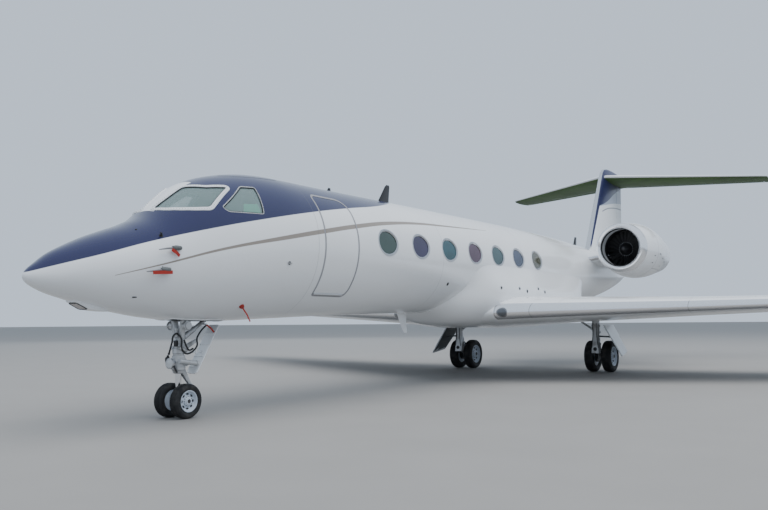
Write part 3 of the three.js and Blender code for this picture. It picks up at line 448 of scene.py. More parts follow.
def cut(obj, cutters, operation="DIFFERENCE"):
    """Takes each cutter out of a piece, or keeps what they share, and deletes the cutters."""
    for tool in cutters:
        modifier = obj.modifiers.new("cut", "BOOLEAN")
        modifier.operation = operation
        modifier.solver = "MANIFOLD"
        modifier.object = tool
        tool.hide_render = True
    evaluated(obj)
    for tool in cutters:
        bpy.data.objects.remove(tool)
    return obj


def carved(obj, cutters, body, node, slot, operation="DIFFERENCE", crease=30):
    """Cuts a skin, shades it smooth up to its edges and hands it over."""
    smooth(cut(obj, cutters, operation), crease)
    return finished(obj, body, [node], slot)


def prism(outline, direction, out=0.25, into=0.3, slot=0, materials=()):
    """Closed cutter: an outline in space carried both ways along a direction."""
    direction = np.asarray(direction, float)
    return cutter([outline + direction * out, outline - direction * into], slot, materials)


def turned(profile, centre, axis="y", sides=64, closed=False):
    """Skin turned round an axis; the profile is radius and distance along the axis."""
    angle = np.arange(sides) / sides * 2 * math.pi
    rings = []
    for radius, along in profile:
        ring = np.zeros((sides, 3))
        u, v, w = {"x": (1, 2, 0), "y": (0, 2, 1), "z": (0, 1, 2)}[axis]
        ring[:, u], ring[:, v], ring[:, w] = radius * np.cos(angle), radius * np.sin(angle), along
        rings.append(ring + np.asarray(centre))
    if closed:
        rings.append(rings[0])
    return loft(rings, caps=not closed)


def tube(path, radius, sides=12):
    """Round tube along points; the radius is one number or one for each point."""
    path = np.asarray(path, float)
    radii = np.broadcast_to(radius, len(path))
    tangent = np.gradient(path, axis=0)
    tangent /= np.linalg.norm(tangent, axis=1, keepdims=True)
    helper = np.array([0, 0, 1.0]) if abs(tangent[0][2]) < 0.9 else np.array([0, 1.0, 0])
    across = np.cross(tangent[0], helper)
    angle = np.arange(sides) / sides * 2 * math.pi
    rings = []
    for point, along, r in zip(path, tangent, radii):
        across = across - np.dot(across, along) * along
        across /= np.linalg.norm(across)
        other = np.cross(along, across)
        rings.append(point + r * (np.outer(np.cos(angle), across) + np.outer(np.sin(angle), other)))
    return loft(rings)


def rod(start, end, radius, sides=24, end_radius=None, edge=0.004):
    """Straight round bar with small chamfers."""
    start, end = np.asarray(start, float), np.asarray(end, float)
    end_radius = radius if end_radius is None else end_radius
    along = (end - start) / np.linalg.norm(end - start)
    edge = min(edge, radius * 0.4, end_radius * 0.4)
    path = [start, start + along * edge, end - along * edge, end]
    return tube(path, [radius - edge, radius, end_radius, end_radius - edge], sides)


def beam(start, end, across, width, thick):
    """Flat bar between two points; width and thick may be pairs, for its two ends."""
    start, end = np.asarray(start, float), np.asarray(end, float)
    along = (end - start) / np.linalg.norm(end - start)
    side = np.cross(along, across)
    side /= np.linalg.norm(side)
    face = np.cross(side, along)
    corners = [(1, 0.6), (0.8, 1), (-0.8, 1), (-1, 0.6), (-1, -0.6), (-0.8, -1), (0.8, -1), (1, -0.6)]
    return loft([
        [place + side * a * w / 2 + face * b * t / 2 for a, b in corners]
        for place, w, t in zip((start, end), np.broadcast_to(width, 2), np.broadcast_to(thick, 2))
    ])


def slab(outline, offset, edge=0.005):
    """Flat panel between an outline and its copy moved across, with small chamfers."""
    outline, offset = np.asarray(outline, float), np.asarray(offset, float)
    away = offset / np.linalg.norm(offset)
    small = grown(outline, -edge, away)
    return loft([small, outline + away * edge, outline + offset - away * edge, small + offset])


def ring_strip(outline, direction, profile):
    """Moulding round an outline on the hull; the profile is (out from the outline, lift off the skin)."""
    direction = np.asarray(direction, float) / np.linalg.norm(direction)
    away = outward(outline, direction)
    rings = []
    for out, lift in profile:
        seat = onto_hull(outline + away * out, direction)
        rings.append(seat + hull_normal(seat) * lift)
    return loft([*rings, rings[0]], caps=False)


def pane(outline, direction, depth, thick=0.008, rings=7):
    """Curved pane inside an outline on the hull, with its face that far below the skin."""
    centre = outline.mean(axis=0)
    shares = np.linspace(1, 0, rings, endpoint=False)
    levels = [onto_hull(centre + (outline - centre) * share, direction) for share in shares]
    lifts = [hull_normal(level) for level in levels]
    outer = [level - normal * depth for level, normal in zip(levels, lifts)]
    inner = [level - normal * (depth + thick) for level, normal in zip(levels, lifts)]
    return loft(inner[::-1] + outer)


# Repeated pieces

def wired(tree, kind, inputs=None, settings=None, output=0):
    """Adds a node, with each input linked to a socket or set to a value, and gives one of its outputs."""
    node = tree.nodes.new(kind)
    for key, value in (settings or {}).items():
        setattr(node, key, value)
    for key, value in (inputs or {}).items():
        if isinstance(value, bpy.types.NodeSocket):
            tree.links.new(value, node.inputs[key])
        else:
            node.inputs[key].default_value = value
    return node.outputs[output] if node.outputs else None


def socket_tree(name, sockets):
    """Empty geometry tree with named inputs and one geometry output."""
    tree = bpy.data.node_groups.new(name, "GeometryNodeTree")
    for label, kind in sockets.items():
        tree.interface.new_socket(label, in_out="INPUT", socket_type=f"NodeSocket{kind}")
    tree.interface.new_socket("Geometry", in_out="OUTPUT", socket_type="NodeSocketGeometry")
    return tree, tree.nodes.new("NodeGroupInput").outputs


def closing(tree, instances, finish):
    """Turns instances into real faces of one finish."""
    real = wired(tree, "GeometryNodeRealizeInstances", {"Geometry": instances})
    painted = wired(tree, "GeometryNodeSetMaterial", {"Geometry": real, "Material": finish})
    wired(tree, "NodeGroupOutput", {"Geometry": painted})


def ring_tree():
    """Copies of a shape, evenly round an axis through the origin, moved to a centre."""
    tree, given = socket_tree("copies_round_an_axis", {
        "Geometry": "Geometry", "Count": "Int", "Axis": "Vector", "Centre": "Vector", "Finish": "Material",
    })
    count = given["Count"]
    line = wired(tree, "GeometryNodeMeshLine", {"Count": count, "Offset": (0, 0, 0)})
    index = wired(tree, "GeometryNodeInputIndex")
    share = wired(tree, "ShaderNodeMath", {0: index, 1: count}, {"operation": "DIVIDE"})
    angle = wired(tree, "ShaderNodeMath", {0: share, 1: 2 * math.pi}, {"operation": "MULTIPLY"})
    turn = wired(tree, "FunctionNodeAxisAngleToRotation", {"Axis": given["Axis"], "Angle": angle})
    copies = wired(tree, "GeometryNodeInstanceOnPoints", {
        "Points": line, "Instance": given["Geometry"], "Rotation": turn,
    })
    moved = wired(tree, "GeometryNodeTranslateInstances", {
        "Instances": copies, "Translation": given["Centre"], "Local Space": False,
    })
    closing(tree, moved, given["Finish"])
    return tree


def row_tree():
    """Low round heads, evenly along a path."""
    tree, given = socket_tree("heads_along_a_path", {
        "Geometry": "Geometry", "Count": "Int", "Radius": "Float", "Finish": "Material",
    })
    path = wired(tree, "GeometryNodeMeshToCurve", {"Mesh": given["Geometry"]})
    even = wired(tree, "GeometryNodeResampleCurve", {"Curve": path, "Count": given["Count"]})
    head = wired(tree, "GeometryNodeMeshIcoSphere", {"Radius": given["Radius"], "Subdivisions": 1})
    copies = wired(tree, "GeometryNodeInstanceOnPoints", {"Points": even, "Instance": head})
    closing(tree, copies, given["Finish"])
    return tree


RING_TREE, ROW_TREE = ring_tree(), row_tree()


def with_tree(obj, tree, values, crease=35):
    """Runs a geometry tree on an object, with its inputs given by name, and keeps the result."""
    modifier = obj.modifiers.new("copies", "NODES")
    modifier.node_group = tree
    for item in tree.interface.items_tree:
        if item.item_type == "SOCKET" and item.in_out == "INPUT" and item.name in values:
            modifier[item.identifier] = values[item.name]
    evaluated(obj)
    smooth(obj, crease)
    return obj


def ring_of(name, skin, count, axis, centre, finish, body="root", crease=35):
    item = Shape().add(skin).piece(name, [finish], body=None)
    with_tree(item, RING_TREE, {"Count": count, "Axis": axis, "Centre": centre, "Finish": finish}, crease)
    return finished(item, body)


def row_of(name, path, count, radius, finish, body="root", closed=True):
    mesh = bpy.data.meshes.new(name)
    last = len(path) if closed else len(path) - 1
    mesh.from_pydata([tuple(p) for p in path], [(i, (i + 1) % len(path)) for i in range(last)], [])
    obj = placed(name, mesh)
    with_tree(obj, ROW_TREE, {"Count": count, "Radius": radius, "Finish": finish}, 180)
    return finished(obj, body)


# Finishes

class Value:
    """A socket that can stand in a sum."""

    def __init__(self, finish, socket):
        self.finish, self.socket = finish, socket

    def math(self, operation, *others):
        return self.finish.math(operation, self, *others)

    def __add__(self, other):
        return self.math("ADD", other)

    def __sub__(self, other):
        return self.math("SUBTRACT", other)

    def __rsub__(self, other):
        return self.finish.math("SUBTRACT", other, self)

    def __mul__(self, other):
        return self.math("MULTIPLY", other)

    def __truediv__(self, other):
        return self.math("DIVIDE", other)

    def __abs__(self):
        return self.math("ABSOLUTE")

    __radd__ = __add__
    __rmul__ = __mul__

    def rising(self, low, high):
        """0 below one level and 1 above the other, with a smooth step between."""
        settings = {"interpolation_type": "SMOOTHSTEP"}
        return self.finish.node("ShaderNodeMapRange", settings, {0: self, 1: low, 2: high})

    def between(self, low, high, soft):
        return self.rising(low - soft, low + soft) * (1 - self.rising(high - soft, high + soft))

    def near(self, levels, half):
        """1 on any of the levels, falling to 0 at half a line's width away."""
        marks = [1 - abs(self - level).rising(half * 0.5, half) for level in levels]
        total = marks[0]
        for mark in marks[1:]:
            total = total.math("MAXIMUM", mark)
        return total


class Finish:
    """Procedural material in the making."""

    def __init__(self, name):
        self.material = bpy.data.materials.new(name)
        self.material.use_nodes = True
        self.tree = self.material.node_tree
        self.tree.nodes.clear()
        self.place = self.node("ShaderNodeTexCoord", output="Object")
        parts = self.node("ShaderNodeSeparateXYZ", {}, {0: self.place}).socket.node
        self.x, self.y, self.z = (Value(self, socket) for socket in parts.outputs)
        self.station = self.y - AFT

    def node(self, kind, settings=None, inputs=None, output=0):
        sockets = {k: v.socket if isinstance(v, Value) else v for k, v in (inputs or {}).items()}
        return Value(self, wired(self.tree, kind, sockets, settings, output))

    def math(self, operation, *values):
        """Math node over values and plain numbers."""
        return self.node("ShaderNodeMath", {"operation": operation}, dict(enumerate(values)))

    def noise(self, scale, detail=3.0, stretch=(1, 1, 1)):
        place = self.node("ShaderNodeMapping", {}, {"Vector": self.place, "Scale": stretch})
        return self.node("ShaderNodeTexNoise", {}, {"Vector": place, "Scale": scale, "Detail": detail})

    def mix(self, share, low, high):
        colours = [c if isinstance(c, Value) else (*c, 1) for c in (low, high)]
        return self.node("ShaderNodeMix", {"data_type": "RGBA"}, {0: share, 6: colours[0], 7: colours[1]}, 2)

    def curve(self, value, points):
        """Graph through a few points, read off at a value."""
        (x0, y0), (x1, y1) = np.min(points, axis=0), np.max(points, axis=0)
        made = self.node("ShaderNodeFloatCurve", {}, {"Value": (value - float(x0)) / float(x1 - x0)})
        graph = made.socket.node.mapping
        line = graph.curves[0]
        while len(line.points) < len(points):
            line.points.new(0.5, 0.5)
        for point, (x, y) in zip(line.points, points):
            point.location = ((x - x0) / (x1 - x0), (y - y0) / (y1 - y0))
        graph.update()
        return made * float(y1 - y0) + float(y0)

    def bump(self, height, distance, strength=1.0):
        return self.node("ShaderNodeBump", {}, {"Strength": strength, "Distance": distance, "Height": height})

    def surface(self, **sockets):
        """The finished material; the words of a socket's name are joined by underscores."""
        inputs = {name.replace("_", " "): value for name, value in sockets.items()}
        shader = self.node("ShaderNodeBsdfPrincipled", {}, inputs)
        wired(self.tree, "ShaderNodeOutputMaterial", {"Surface": shader.socket})
        return self.material


WHITE = (0.84, 0.86, 0.88)
NAVY = (0.012, 0.014, 0.07)
TAN = (0.27, 0.235, 0.2)
SLATE = (0.33, 0.38, 0.48)
NAVY_EDGE = [
    (0, 2.12), (0.352, 2.239), (0.82, 2.386), (1.551, 2.623), (2.448, 2.872), (3.39, 3.097), (4.775, 3.386),
    (5.649, 3.546), (7.083, 3.793), (8.3, 4.08),
]
STRIPE = [
    (1.0, 2.11), (1.611, 2.28), (2.69, 2.588), (3.912, 2.852), (4.817, 3.035), (5.746, 3.211), (6.994, 3.406),
    (8.248, 3.529), (9.3, 3.591), (11.6, 3.71),
]
STRIPE_HALF = [(1.0, 0.004), (3.0, 0.024), (5.2, 0.04), (8.0, 0.027), (11.6, 0.004)]
FIN_NAVY = [(22.3, 5.62), (22.87, 5.8), (23.37, 5.94), (24.01, 6.17), (24.68, 6.46), (25.9, 6.84)]
FIN_SWEEP = [(22.3, 5.6), (22.87, 5.78), (23.79, 5.96), (24.64, 6.1), (25.9, 6.25)]
FIN_LINE = [(22.3, 5.4), (23.2, 5.64), (23.56, 5.75), (24.19, 5.865), (25.9, 6.02)]
FIN_RAKE = (0.6025, 19.2)  # station of the leading edge: for each metre of height, and at no height
FIN_BAND = (0.05, -0.03)  # width of the navy band behind it, in the same way
FRAME_STATIONS = (4.62, 8.9, 13.2, 17.6, 21.2)
# Painted reflections in the cabin windows: the colour that each window shows, from the front.
PANE_REFLECTIONS = [
    (0.022, 0.045, 0.036), (0.018, 0.012, 0.05), (0.004, 0.055, 0.07), (0.055, 0.02, 0.045),
    (0.015, 0.05, 0.055), (0.02, 0.032, 0.065), (0.07, 0.07, 0.05),
]
# Two olive tones of the painted grass reflection under the tailplane.
GRASS_REFLECTION_TONES = ((0.026, 0.07, 0.008), (0.042, 0.105, 0.013))
WING_JOINTS = (2.6, 5.26, 7.1, 8.86, 11.0, 12.9)  # distance from the middle
TAILPLANE_JOINTS = (0.9, 1.9, 2.9, 3.9, 4.8)
COWL_JOINTS = (1.32, 2.72)  # distance aft of the lip
COWL_SPLIT = 0.62  # its lower doors meet this far below the axis


def gloss(finish, colour, height, rough=0.16, coat=0.5):
    """Polished paint: fine streaks in the gloss, and joints as shallow grooves."""
    streaks = finish.noise(2.2, 4.0, (1, 0.35, 1))
    ripple = finish.noise(55.0, 2.0)
    shine = streaks * 0.09 + rough
    return finish.surface(
        Base_Color=colour, Roughness=shine, Coat_Weight=coat, Coat_Roughness=0.09, Specular_IOR_Level=0.5,
        Normal=finish.bump(height + ripple * 0.02, 0.004),
    )


def white_tone(finish):
    """White with faint dirt in soft clouds, anywhere on the skin."""
    cloud = finish.noise(1.3, 5.0, (1, 0.5, 1.4))
    return finish.mix(cloud.rising(0.35, 0.8) * 0.16, WHITE, (0.66, 0.67, 0.66))


def hull_paint():
    finish = Finish("fuselage_paint")
    y, z = finish.station, finish.z
    last = NAVY_EDGE[-1][0]
    edge = finish.curve(y.math("MINIMUM", last), NAVY_EDGE)
    navy = (z - edge).rising(-0.006, 0.006) * (1 - y.rising(last - 0.05, last))
    centre = finish.curve(y, STRIPE)
    half = finish.curve(y, STRIPE_HALF)
    here = y.between(STRIPE[0][0], STRIPE[-1][0], 0.01)
    stripe = (1 - (abs(z - centre) - half).rising(-0.004, 0.004)) * here
    joints = y.near(FRAME_STATIONS, 0.006)
    post = y.between(*SCREEN_POST["stations"], 0.004) * (z - SCREEN_POST["above"]).rising(-0.004, 0.004)
    post = post * (1 - abs(finish.x).rising(SCREEN_POST["half"] - 0.003, SCREEN_POST["half"] + 0.003))
    colour = finish.mix(navy * (1 - post), white_tone(finish), NAVY)
    colour = finish.mix(stripe, colour, TAN)
    colour = finish.mix(joints * 0.35, colour, (0.2, 0.2, 0.21))
    return gloss(finish, colour, 1 - joints)


def white_paint():
    finish = Finish("white_gloss_paint")
    return gloss(finish, white_tone(finish), finish.noise(3.0, 1.0) * 0.0)


def cowl_paint():
    """White cowl with the joints between its doors and sleeves."""
    finish = Finish("cowl_paint")
    along = finish.station - ENGINE[1]
    joints = along.near(COWL_JOINTS, 0.012)
    split = abs(finish.z - ENGINE[2] + COWL_SPLIT).near((0,), 0.01) * along.between(*COWL_JOINTS, 0.002)
    seams = joints.math("MAXIMUM", split)
    colour = finish.mix(seams * 0.75, white_tone(finish), (0.2, 0.2, 0.22))
    return gloss(finish, colour, 1 - seams)


def wing_paint():
    """White upper and lower skins with the joints of skin panels and spoilers."""
    finish = Finish("wing_paint")
    joints = abs(finish.x).near(WING_JOINTS, 0.006)
    colour = finish.mix(joints * 0.4, white_tone(finish), (0.25, 0.25, 0.26))
    return gloss(finish, colour, 1 - joints)


def fin_paint():
    """White fin with a navy top, a blue-grey sweep below it and a thin dark line."""
    finish = Finish("fin_paint")
    y, z = finish.station.math("MAXIMUM", FIN_NAVY[0][0]).math("MINIMUM", FIN_NAVY[-1][0]), finish.z
    navy = (z - finish.curve(y, FIN_NAVY)).rising(-0.01, 0.01)
    sweep = (z - finish.curve(y, FIN_SWEEP)).rising(-0.01, 0.01)
    behind = finish.station - (z * FIN_RAKE[0] + FIN_RAKE[1]) - z * FIN_BAND[0] - FIN_BAND[1]
    band = (1 - behind.rising(-0.008, 0.008)) * z.rising(4.05, 4.25)
    line = 1 - abs(z - finish.curve(y, FIN_LINE)).rising(0.012, 0.03)
    line = line * finish.station.rising(23.1, 23.2)
    colour = finish.mix(line * 0.8, white_tone(finish), (0.06, 0.07, 0.12))
    colour = finish.mix(sweep, colour, SLATE)
    colour = finish.mix(navy.math("MAXIMUM", band), colour, NAVY)
    return gloss(finish, colour, 1 - line * 0.5, 0.3, 0.15)


def wing_edge():
    """Polished leading edge with a round dark lens and its ring near the root."""
    finish = Finish("wing_leading_edge")
    across, up = abs(finish.x) - LANDING_LIGHT["x"], finish.z - LANDING_LIGHT["z"]
    away = (across * across + up * up).math("SQRT") - LANDING_LIGHT["radius"]
    lens = 1 - away.rising(-0.004, 0.004)
    ring = (1 - away.rising(0.016, 0.022)) * (1 - lens)
    grain = finish.noise(40.0, 3.0, (0.25, 1, 1))
    colour = finish.mix(grain, (0.9, 0.9, 0.91), (0.8, 0.8, 0.82))
    joints = abs(finish.x).near(EDGE_JOINTS, 0.007)
    colour = finish.mix(joints * 0.7, colour, (0.12, 0.12, 0.13))
    colour = finish.mix(ring, colour, (0.3, 0.3, 0.31))
    colour = finish.mix(lens, colour, (0.07, 0.08, 0.095))
    return finish.surface(
        Base_Color=colour, Metallic=(1 - lens) * 0.9, Coat_Weight=lens,
        Roughness=(grain * 0.14 + 0.16) * (1 - lens) + lens * 0.08,
        Normal=finish.bump(grain * 0.2 + ring, 0.003),
    )


def grass_reflection_gloss():
    """Dark olive gloss under the tailplane, a painted reflection of green grass, in panels a little apart in
    tone.
    """
    finish = Finish("tailplane_underside")
    panels = abs(finish.x).near(TAILPLANE_JOINTS, 0.008)
    tone = finish.noise(1.1, 3.0, (0.5, 2.0, 1))
    colour = finish.mix(tone.rising(0.35, 0.65), *GRASS_REFLECTION_TONES)
    colour = finish.mix(panels * 0.5, colour, (0.03, 0.04, 0.03))
    return gloss(finish, colour, 1 - panels, 0.5, 0.0)


def pane_glass():
    """Cabin glass with painted reflections: each window in a sequence shows its own colour, with lighter
    patches.
    """
    finish = Finish("cabin_glass")
    drift = finish.noise(2.6, 3.0, (1, 0.6, 1))
    shades = [finish.mix(drift.rising(0.2, 0.8), tint_and_reflection, tuple(c * 1.7 for c in tint_and_reflection)) for tint_and_reflection in PANE_REFLECTIONS]
    colour = shades[0]
    for i, shade in enumerate(shades[1:], 1):
        border = WINDOW_FIRST[0] + WINDOW_STEP[0] * (i - 0.5)
        colour = finish.mix(finish.station.rising(border - 0.01, border + 0.01), colour, shade)
    return finish.surface(
        Base_Color=colour, Roughness=drift * 0.08 + 0.03, Alpha=0.9, Coat_Weight=0.4, Coat_Roughness=0.02,
        Specular_IOR_Level=0.5,
    )


def polished_metal(name="polished_edge", tone=0.78, rough=0.16, metallic=1.0):
    finish = Finish(name)
    grain = finish.noise(40.0, 3.0, (0.25, 1, 1))
    colour = finish.mix(grain, (tone, tone, tone * 1.01), (tone * 0.88, tone * 0.89, tone * 0.91))
    return finish.surface(
        Base_Color=colour, Metallic=metallic, Roughness=grain * 0.14 + rough,
        Normal=finish.bump(grain, 0.0006),
    )


def gear_enamel():
    """Silver-grey enamel of the legs, with dark brown patches that are partly dirt and partly painted shade
    and a painted reflection of the brown ground under the wing.
    """
    finish = Finish("gear_enamel")
    speckle = finish.noise(26.0, 5.0)
    grime_and_shade = finish.noise(5.0, 4.0).rising(0.5, 0.75)
    # Painted shade: the brown patches are darker than dirt alone, for the shade and the ground's reflection
    # under the wing.
    colour = finish.mix(grime_and_shade * 0.7, (0.52, 0.53, 0.54), (0.2, 0.18, 0.16))
    return finish.surface(
        Base_Color=colour, Metallic=0.35, Roughness=speckle * 0.2 + 0.26, Coat_Weight=0.2,
        Normal=finish.bump(speckle, 0.0015),
    )


def dark_metal(name="fan_titanium", tone=0.2, rough=0.3, metallic=0.5):
    finish = Finish(name)
    grain = finish.noise(30.0, 4.0)
    colour = finish.mix(grain, (tone, tone, tone * 1.03), (tone * 1.7, tone * 1.7, tone * 1.75))
    return finish.surface(Base_Color=colour, Metallic=metallic, Roughness=grain * 0.2 + rough)


def rubber():
    finish = Finish("tyre_rubber")
    dust = finish.noise(9.0, 5.0)
    fine = finish.noise(160.0, 3.0)
    colour = finish.mix(dust.rising(0.4, 0.8), (0.013, 0.013, 0.014), (0.05, 0.047, 0.043))
    return finish.surface(
        Base_Color=colour, Roughness=fine * 0.2 + 0.62, Normal=finish.bump(fine, 0.0008, 0.6),
    )


def matte(name, tone, other, scale=60.0, rough=0.7, depth=0.001):
    """Plain moulded or lined surface with a fine grain."""
    finish = Finish(name)
    grain = finish.noise(scale, 4.0)
    return finish.surface(
        Base_Color=finish.mix(grain, tone, other), Roughness=grain * 0.15 + rough - 0.1,
        Normal=finish.bump(grain, depth),
    )


def leather():
    finish = Finish("seat_leather")
    pores = finish.node("ShaderNodeTexVoronoi", {}, {"Vector": finish.place, "Scale": 240.0})
    wear = finish.noise(7.0, 4.0)
    colour = finish.mix(wear, (0.46, 0.38, 0.27), (0.6, 0.52, 0.4))
    return finish.surface(
        Base_Color=colour, Roughness=wear * 0.2 + 0.36, Normal=finish.bump(pores + wear, 0.001),
    )


def glass(name, tint_and_reflection, alpha, sheen=(0.03, 0.08)):
    """Tinted pane; its colour drifts a little from top to bottom. The cockpit's pale colour is a painted sky
    reflection.
    """
    finish = Finish(name)
    drift = finish.noise(1.6, 2.0, (1, 0.4, 1))
    colour = finish.mix(drift, tint_and_reflection, tuple(c * 0.7 for c in tint_and_reflection))
    return finish.surface(
        Base_Color=colour, Roughness=drift * sheen[1] + sheen[0], Alpha=alpha, Coat_Weight=1.0,
        Coat_Roughness=0.02, Specular_IOR_Level=0.8,
    )


PAINT = hull_paint()
WHITE_PAINT = white_paint()
WHEEL_ENAMEL = matte("wheel_enamel", (0.6, 0.66, 0.74), (0.5, 0.56, 0.64), 12.0, 0.36)
GREASED = dark_metal("greased_steel", 0.05, 0.4)
PRIMER = matte("door_primer", (0.1, 0.11, 0.11), (0.16, 0.17, 0.17), 14.0, 0.6)
WING_PAINT = wing_paint()
FIN_PAINT = fin_paint()
POLISHED = polished_metal()
WING_EDGE = wing_edge()
SATIN_METAL = polished_metal("satin_metal", 0.62, 0.3)
LIP = polished_metal("intake_lip", 0.94, 0.09, 0.85)
CHROME = polished_metal("chromed_piston", 0.85, 0.06)
ENAMEL = gear_enamel()
TITANIUM = dark_metal(tone=0.045, rough=0.32)
# Near black: the fan case, and painted shade inside the intake.
FAN_CASE_AND_SHADE = dark_metal("fan_case_and_shade", 0.012, 0.5, 0.0)
COWL_PAINT = cowl_paint()
SOOTED = dark_metal("sooted_nozzle", 0.2, 0.42)
RUBBER = rubber()
LINING = matte("cabin_lining", (0.62, 0.58, 0.5), (0.68, 0.64, 0.56))
CARPET = matte("cabin_carpet", (0.2, 0.16, 0.11), (0.3, 0.25, 0.18), 300.0, 0.95, 0.004)
PANEL_BLACK = matte("panel_black", (0.012, 0.012, 0.013), (0.03, 0.03, 0.032), 90.0, 0.6)
BLADE_BLACK = matte("aerial_black", (0.01, 0.01, 0.011), (0.022, 0.022, 0.024), 50.0, 0.4)
SEAM = matte("door_seal", (0.27, 0.27, 0.29), (0.33, 0.33, 0.35), 120.0, 0.6)
LEATHER = leather()
SEAT_SHELL = matte("seat_shell", (0.35, 0.3, 0.22), (0.42, 0.36, 0.28), 70.0, 0.5)
SENSOR_GLASS = glass("sensor_glass", (0.2, 0.15, 0.14), 0.95)
LAMP_GLASS = glass("lamp_glass", (0.75, 0.78, 0.8), 0.9)
GRASS_REFLECTION_GLOSS = grass_reflection_gloss()
DUCT_LINER = matte("intake_liner", (0.5, 0.51, 0.52), (0.42, 0.43, 0.44), 160.0, 0.45)
SCARLET = matte("streamer_red", (0.3, 0.02, 0.014), (0.42, 0.04, 0.025), 220.0, 0.8, 0.0006)
SHADE_GREEN = matte("sunshade_green", (0.0, 0.55, 0.27), (0.01, 0.68, 0.36), 90.0, 0.6)
WINDOW_RIM = matte("window_rim", (0.82, 0.84, 0.86), (0.74, 0.76, 0.78), 80.0, 0.35)
NAVIGATION = {
    "left": glass("port_lamp", (0.5, 0.02, 0.02), 0.9),
    "right": glass("starboard_lamp", (0.02, 0.4, 0.12), 0.9),
}
CABIN_GLASS = pane_glass()
# The cockpit glass's pale blue-green colour is a painted reflection of the sky.
COCKPIT_GLASS = glass("cockpit_glass", (0.33, 0.46, 0.45), 0.4)


# Camera, light and floor

CAMERA = {"place": (9.35, -20.114, 1.441), "turns": (33.787, 5.055, -0.42), "lens": 35.93, "sensor": 36}
CLIP = (0.5, 1500)
SKY = {"Color": (0.72, 0.84, 1.0, 1), "Strength": 0.95}
LIGHTS = {  # place, target, size, power and colour
    "key": ((12, -4, 46), (0, 0, 2), (60, 60), 30000, (1, 0.98, 0.95)),
    "fill": ((-40, 30, 24), (0, 0, 3), (30, 20), 5000, (0.9, 0.95, 1)),
}
FLOOR_REACH = 700


def make_camera():
    """At the photograph's place: a little above a person's height, off the port bow."""
    yaw, pitch, roll = (math.radians(a) for a in CAMERA["turns"])
    forward = Vector((-math.sin(yaw) * math.cos(pitch), math.cos(yaw) * math.cos(pitch), math.sin(pitch)))
    right = forward.cross(Vector((0, 0, 1))).normalized()
    up = right.cross(forward)
    rolled = (right * math.cos(roll) + up * math.sin(roll), up * math.cos(roll) - right * math.sin(roll))
    data = bpy.data.cameras.new("camera")
    data.sensor_width, data.lens = CAMERA["sensor"], CAMERA["lens"]
    data.clip_start, data.clip_end = CLIP
    camera = placed("camera", data)
    turned_to = Matrix((*rolled, -forward)).transposed().to_4x4()
    camera.matrix_world = Matrix.Translation(CAMERA["place"]) @ turned_to
    bpy.context.scene.camera = camera


def make_light(name, place, target, size, power, colour):
    """Soft area light that shapes the surfaces but isn't mirrored in the paint."""
    data = bpy.data.lights.new(name, "AREA")
    data.shape = "RECTANGLE"
    data.size, data.size_y = size
    data.energy = power
    data.color = colour
    light = placed(name, data)
    light.location = place
    light.visible_glossy = False
    light.rotation_mode = "QUATERNION"
    light.rotation_quaternion = (Vector(place) - Vector(target)).to_track_quat("Z", "Y")


def make_studio():
    world = bpy.data.worlds.new("studio")
    world.use_nodes = True
    sky = world.node_tree.nodes["Background"]
    for name, value in SKY.items():
        sky.inputs[name].default_value = value
    bpy.context.scene.world = world
    for name, settings in LIGHTS.items():
        make_light(name, *settings)
    mesh = bpy.data.meshes.new("floor")
    corners = [(x * FLOOR_REACH, y * FLOOR_REACH, 0) for x, y in ((-1, -1), (1, -1), (1, 1), (-1, 1))]
    mesh.from_pydata(corners, [], [(0, 1, 2, 3)])
    mesh.materials.append(matte("studio_floor", (0.27, 0.262, 0.25), (0.31, 0.3, 0.288), 0.8, 0.85, 0.002))
    placed("floor", mesh)


make_camera()
make_studio()


# Fuselage

def window_outline(i, side, grow=0.0, count=48):
    angle = np.arange(count) / count * 2 * math.pi
    y = WINDOW_FIRST[0] + WINDOW_STEP[0] * i + (WINDOW_HALF[0] + grow) * np.cos(angle)
    z = WINDOW_FIRST[1] + WINDOW_STEP[1] * i + (WINDOW_HALF[1] + grow) * np.sin(angle)
    return side_outline(np.column_stack([y, z]), side)


def cockpit_openings(side):
    """Kind, outline and outward direction of the cockpit's windows on one side."""
    quarter = softened(side_outline(SIDE_WINDOW, side), 96, 0.03)
    screen = softened([(side * x, y + AFT, z) for x, y, z in WINDSCREEN], 128, 0.035)
    out = np.array(WINDSCREEN_OUTWARD) * (side, 1, 1)
    return ("side_window", quarter, np.array([side, 0, 0])), ("windscreen", screen, out)


def door_outline(inset=0.0):
    (y0, z0), (y1, _), (_, z1), _ = DOOR
    y0, z0, y1, z1 = y0 + inset, z0 + inset, y1 - inset, z1 - inset
    corners = [(y0, z0), (y1, z0), (y1, z1), (y0, z1)]
    radii = [max(r - inset, 0.004) for r in DOOR_CORNERS]
    return side_outline(rounded(corners, radii), 1)


def hull_normals(obj):
    """Smooth outer skin: corners that lie on the hull take its own normal."""
    mesh, points = obj.data, vertices_of(obj.data)
    outer = np.abs(hull_depth(points) - 1) < 0.004
    skins = hull_normal(points)
    normals = np.zeros((len(mesh.loops), 3))
    for face in mesh.polygons:
        on_skin = all(outer[v] for v in face.vertices)
        for loop in face.loop_indices:
            v = mesh.loops[loop].vertex_index
            normals[loop] = skins[v] if on_skin else face.normal
    mesh.polygons.foreach_set("use_smooth", [True] * len(mesh.polygons))
    mesh.normals_split_custom_set(normals.tolist())


def hull_shell(name, front, back, sides=144, step=0.11):
    """Pressure hull between two stations, hollow where the cabin is."""
    materials = [PAINT, LINING]
    start, end = math.sqrt(front), math.sqrt(back)
    spacing = np.linspace(start, end, int((end - start) / step * 6))
    shell = Shape().add(loft([hull_ring(s**2, sides) for s in spacing])).piece(name, materials, body=None)
    low, high = max(front - 0.3, CAVITY[0]), min(back + 0.3, CAVITY[1])
    cavity = [hull_ring(s, 72, SKIN) for s in np.linspace(low, high, int((high - low) / 0.3) + 2)]
    return cut(shell, [cutter(cavity, 1, materials)])


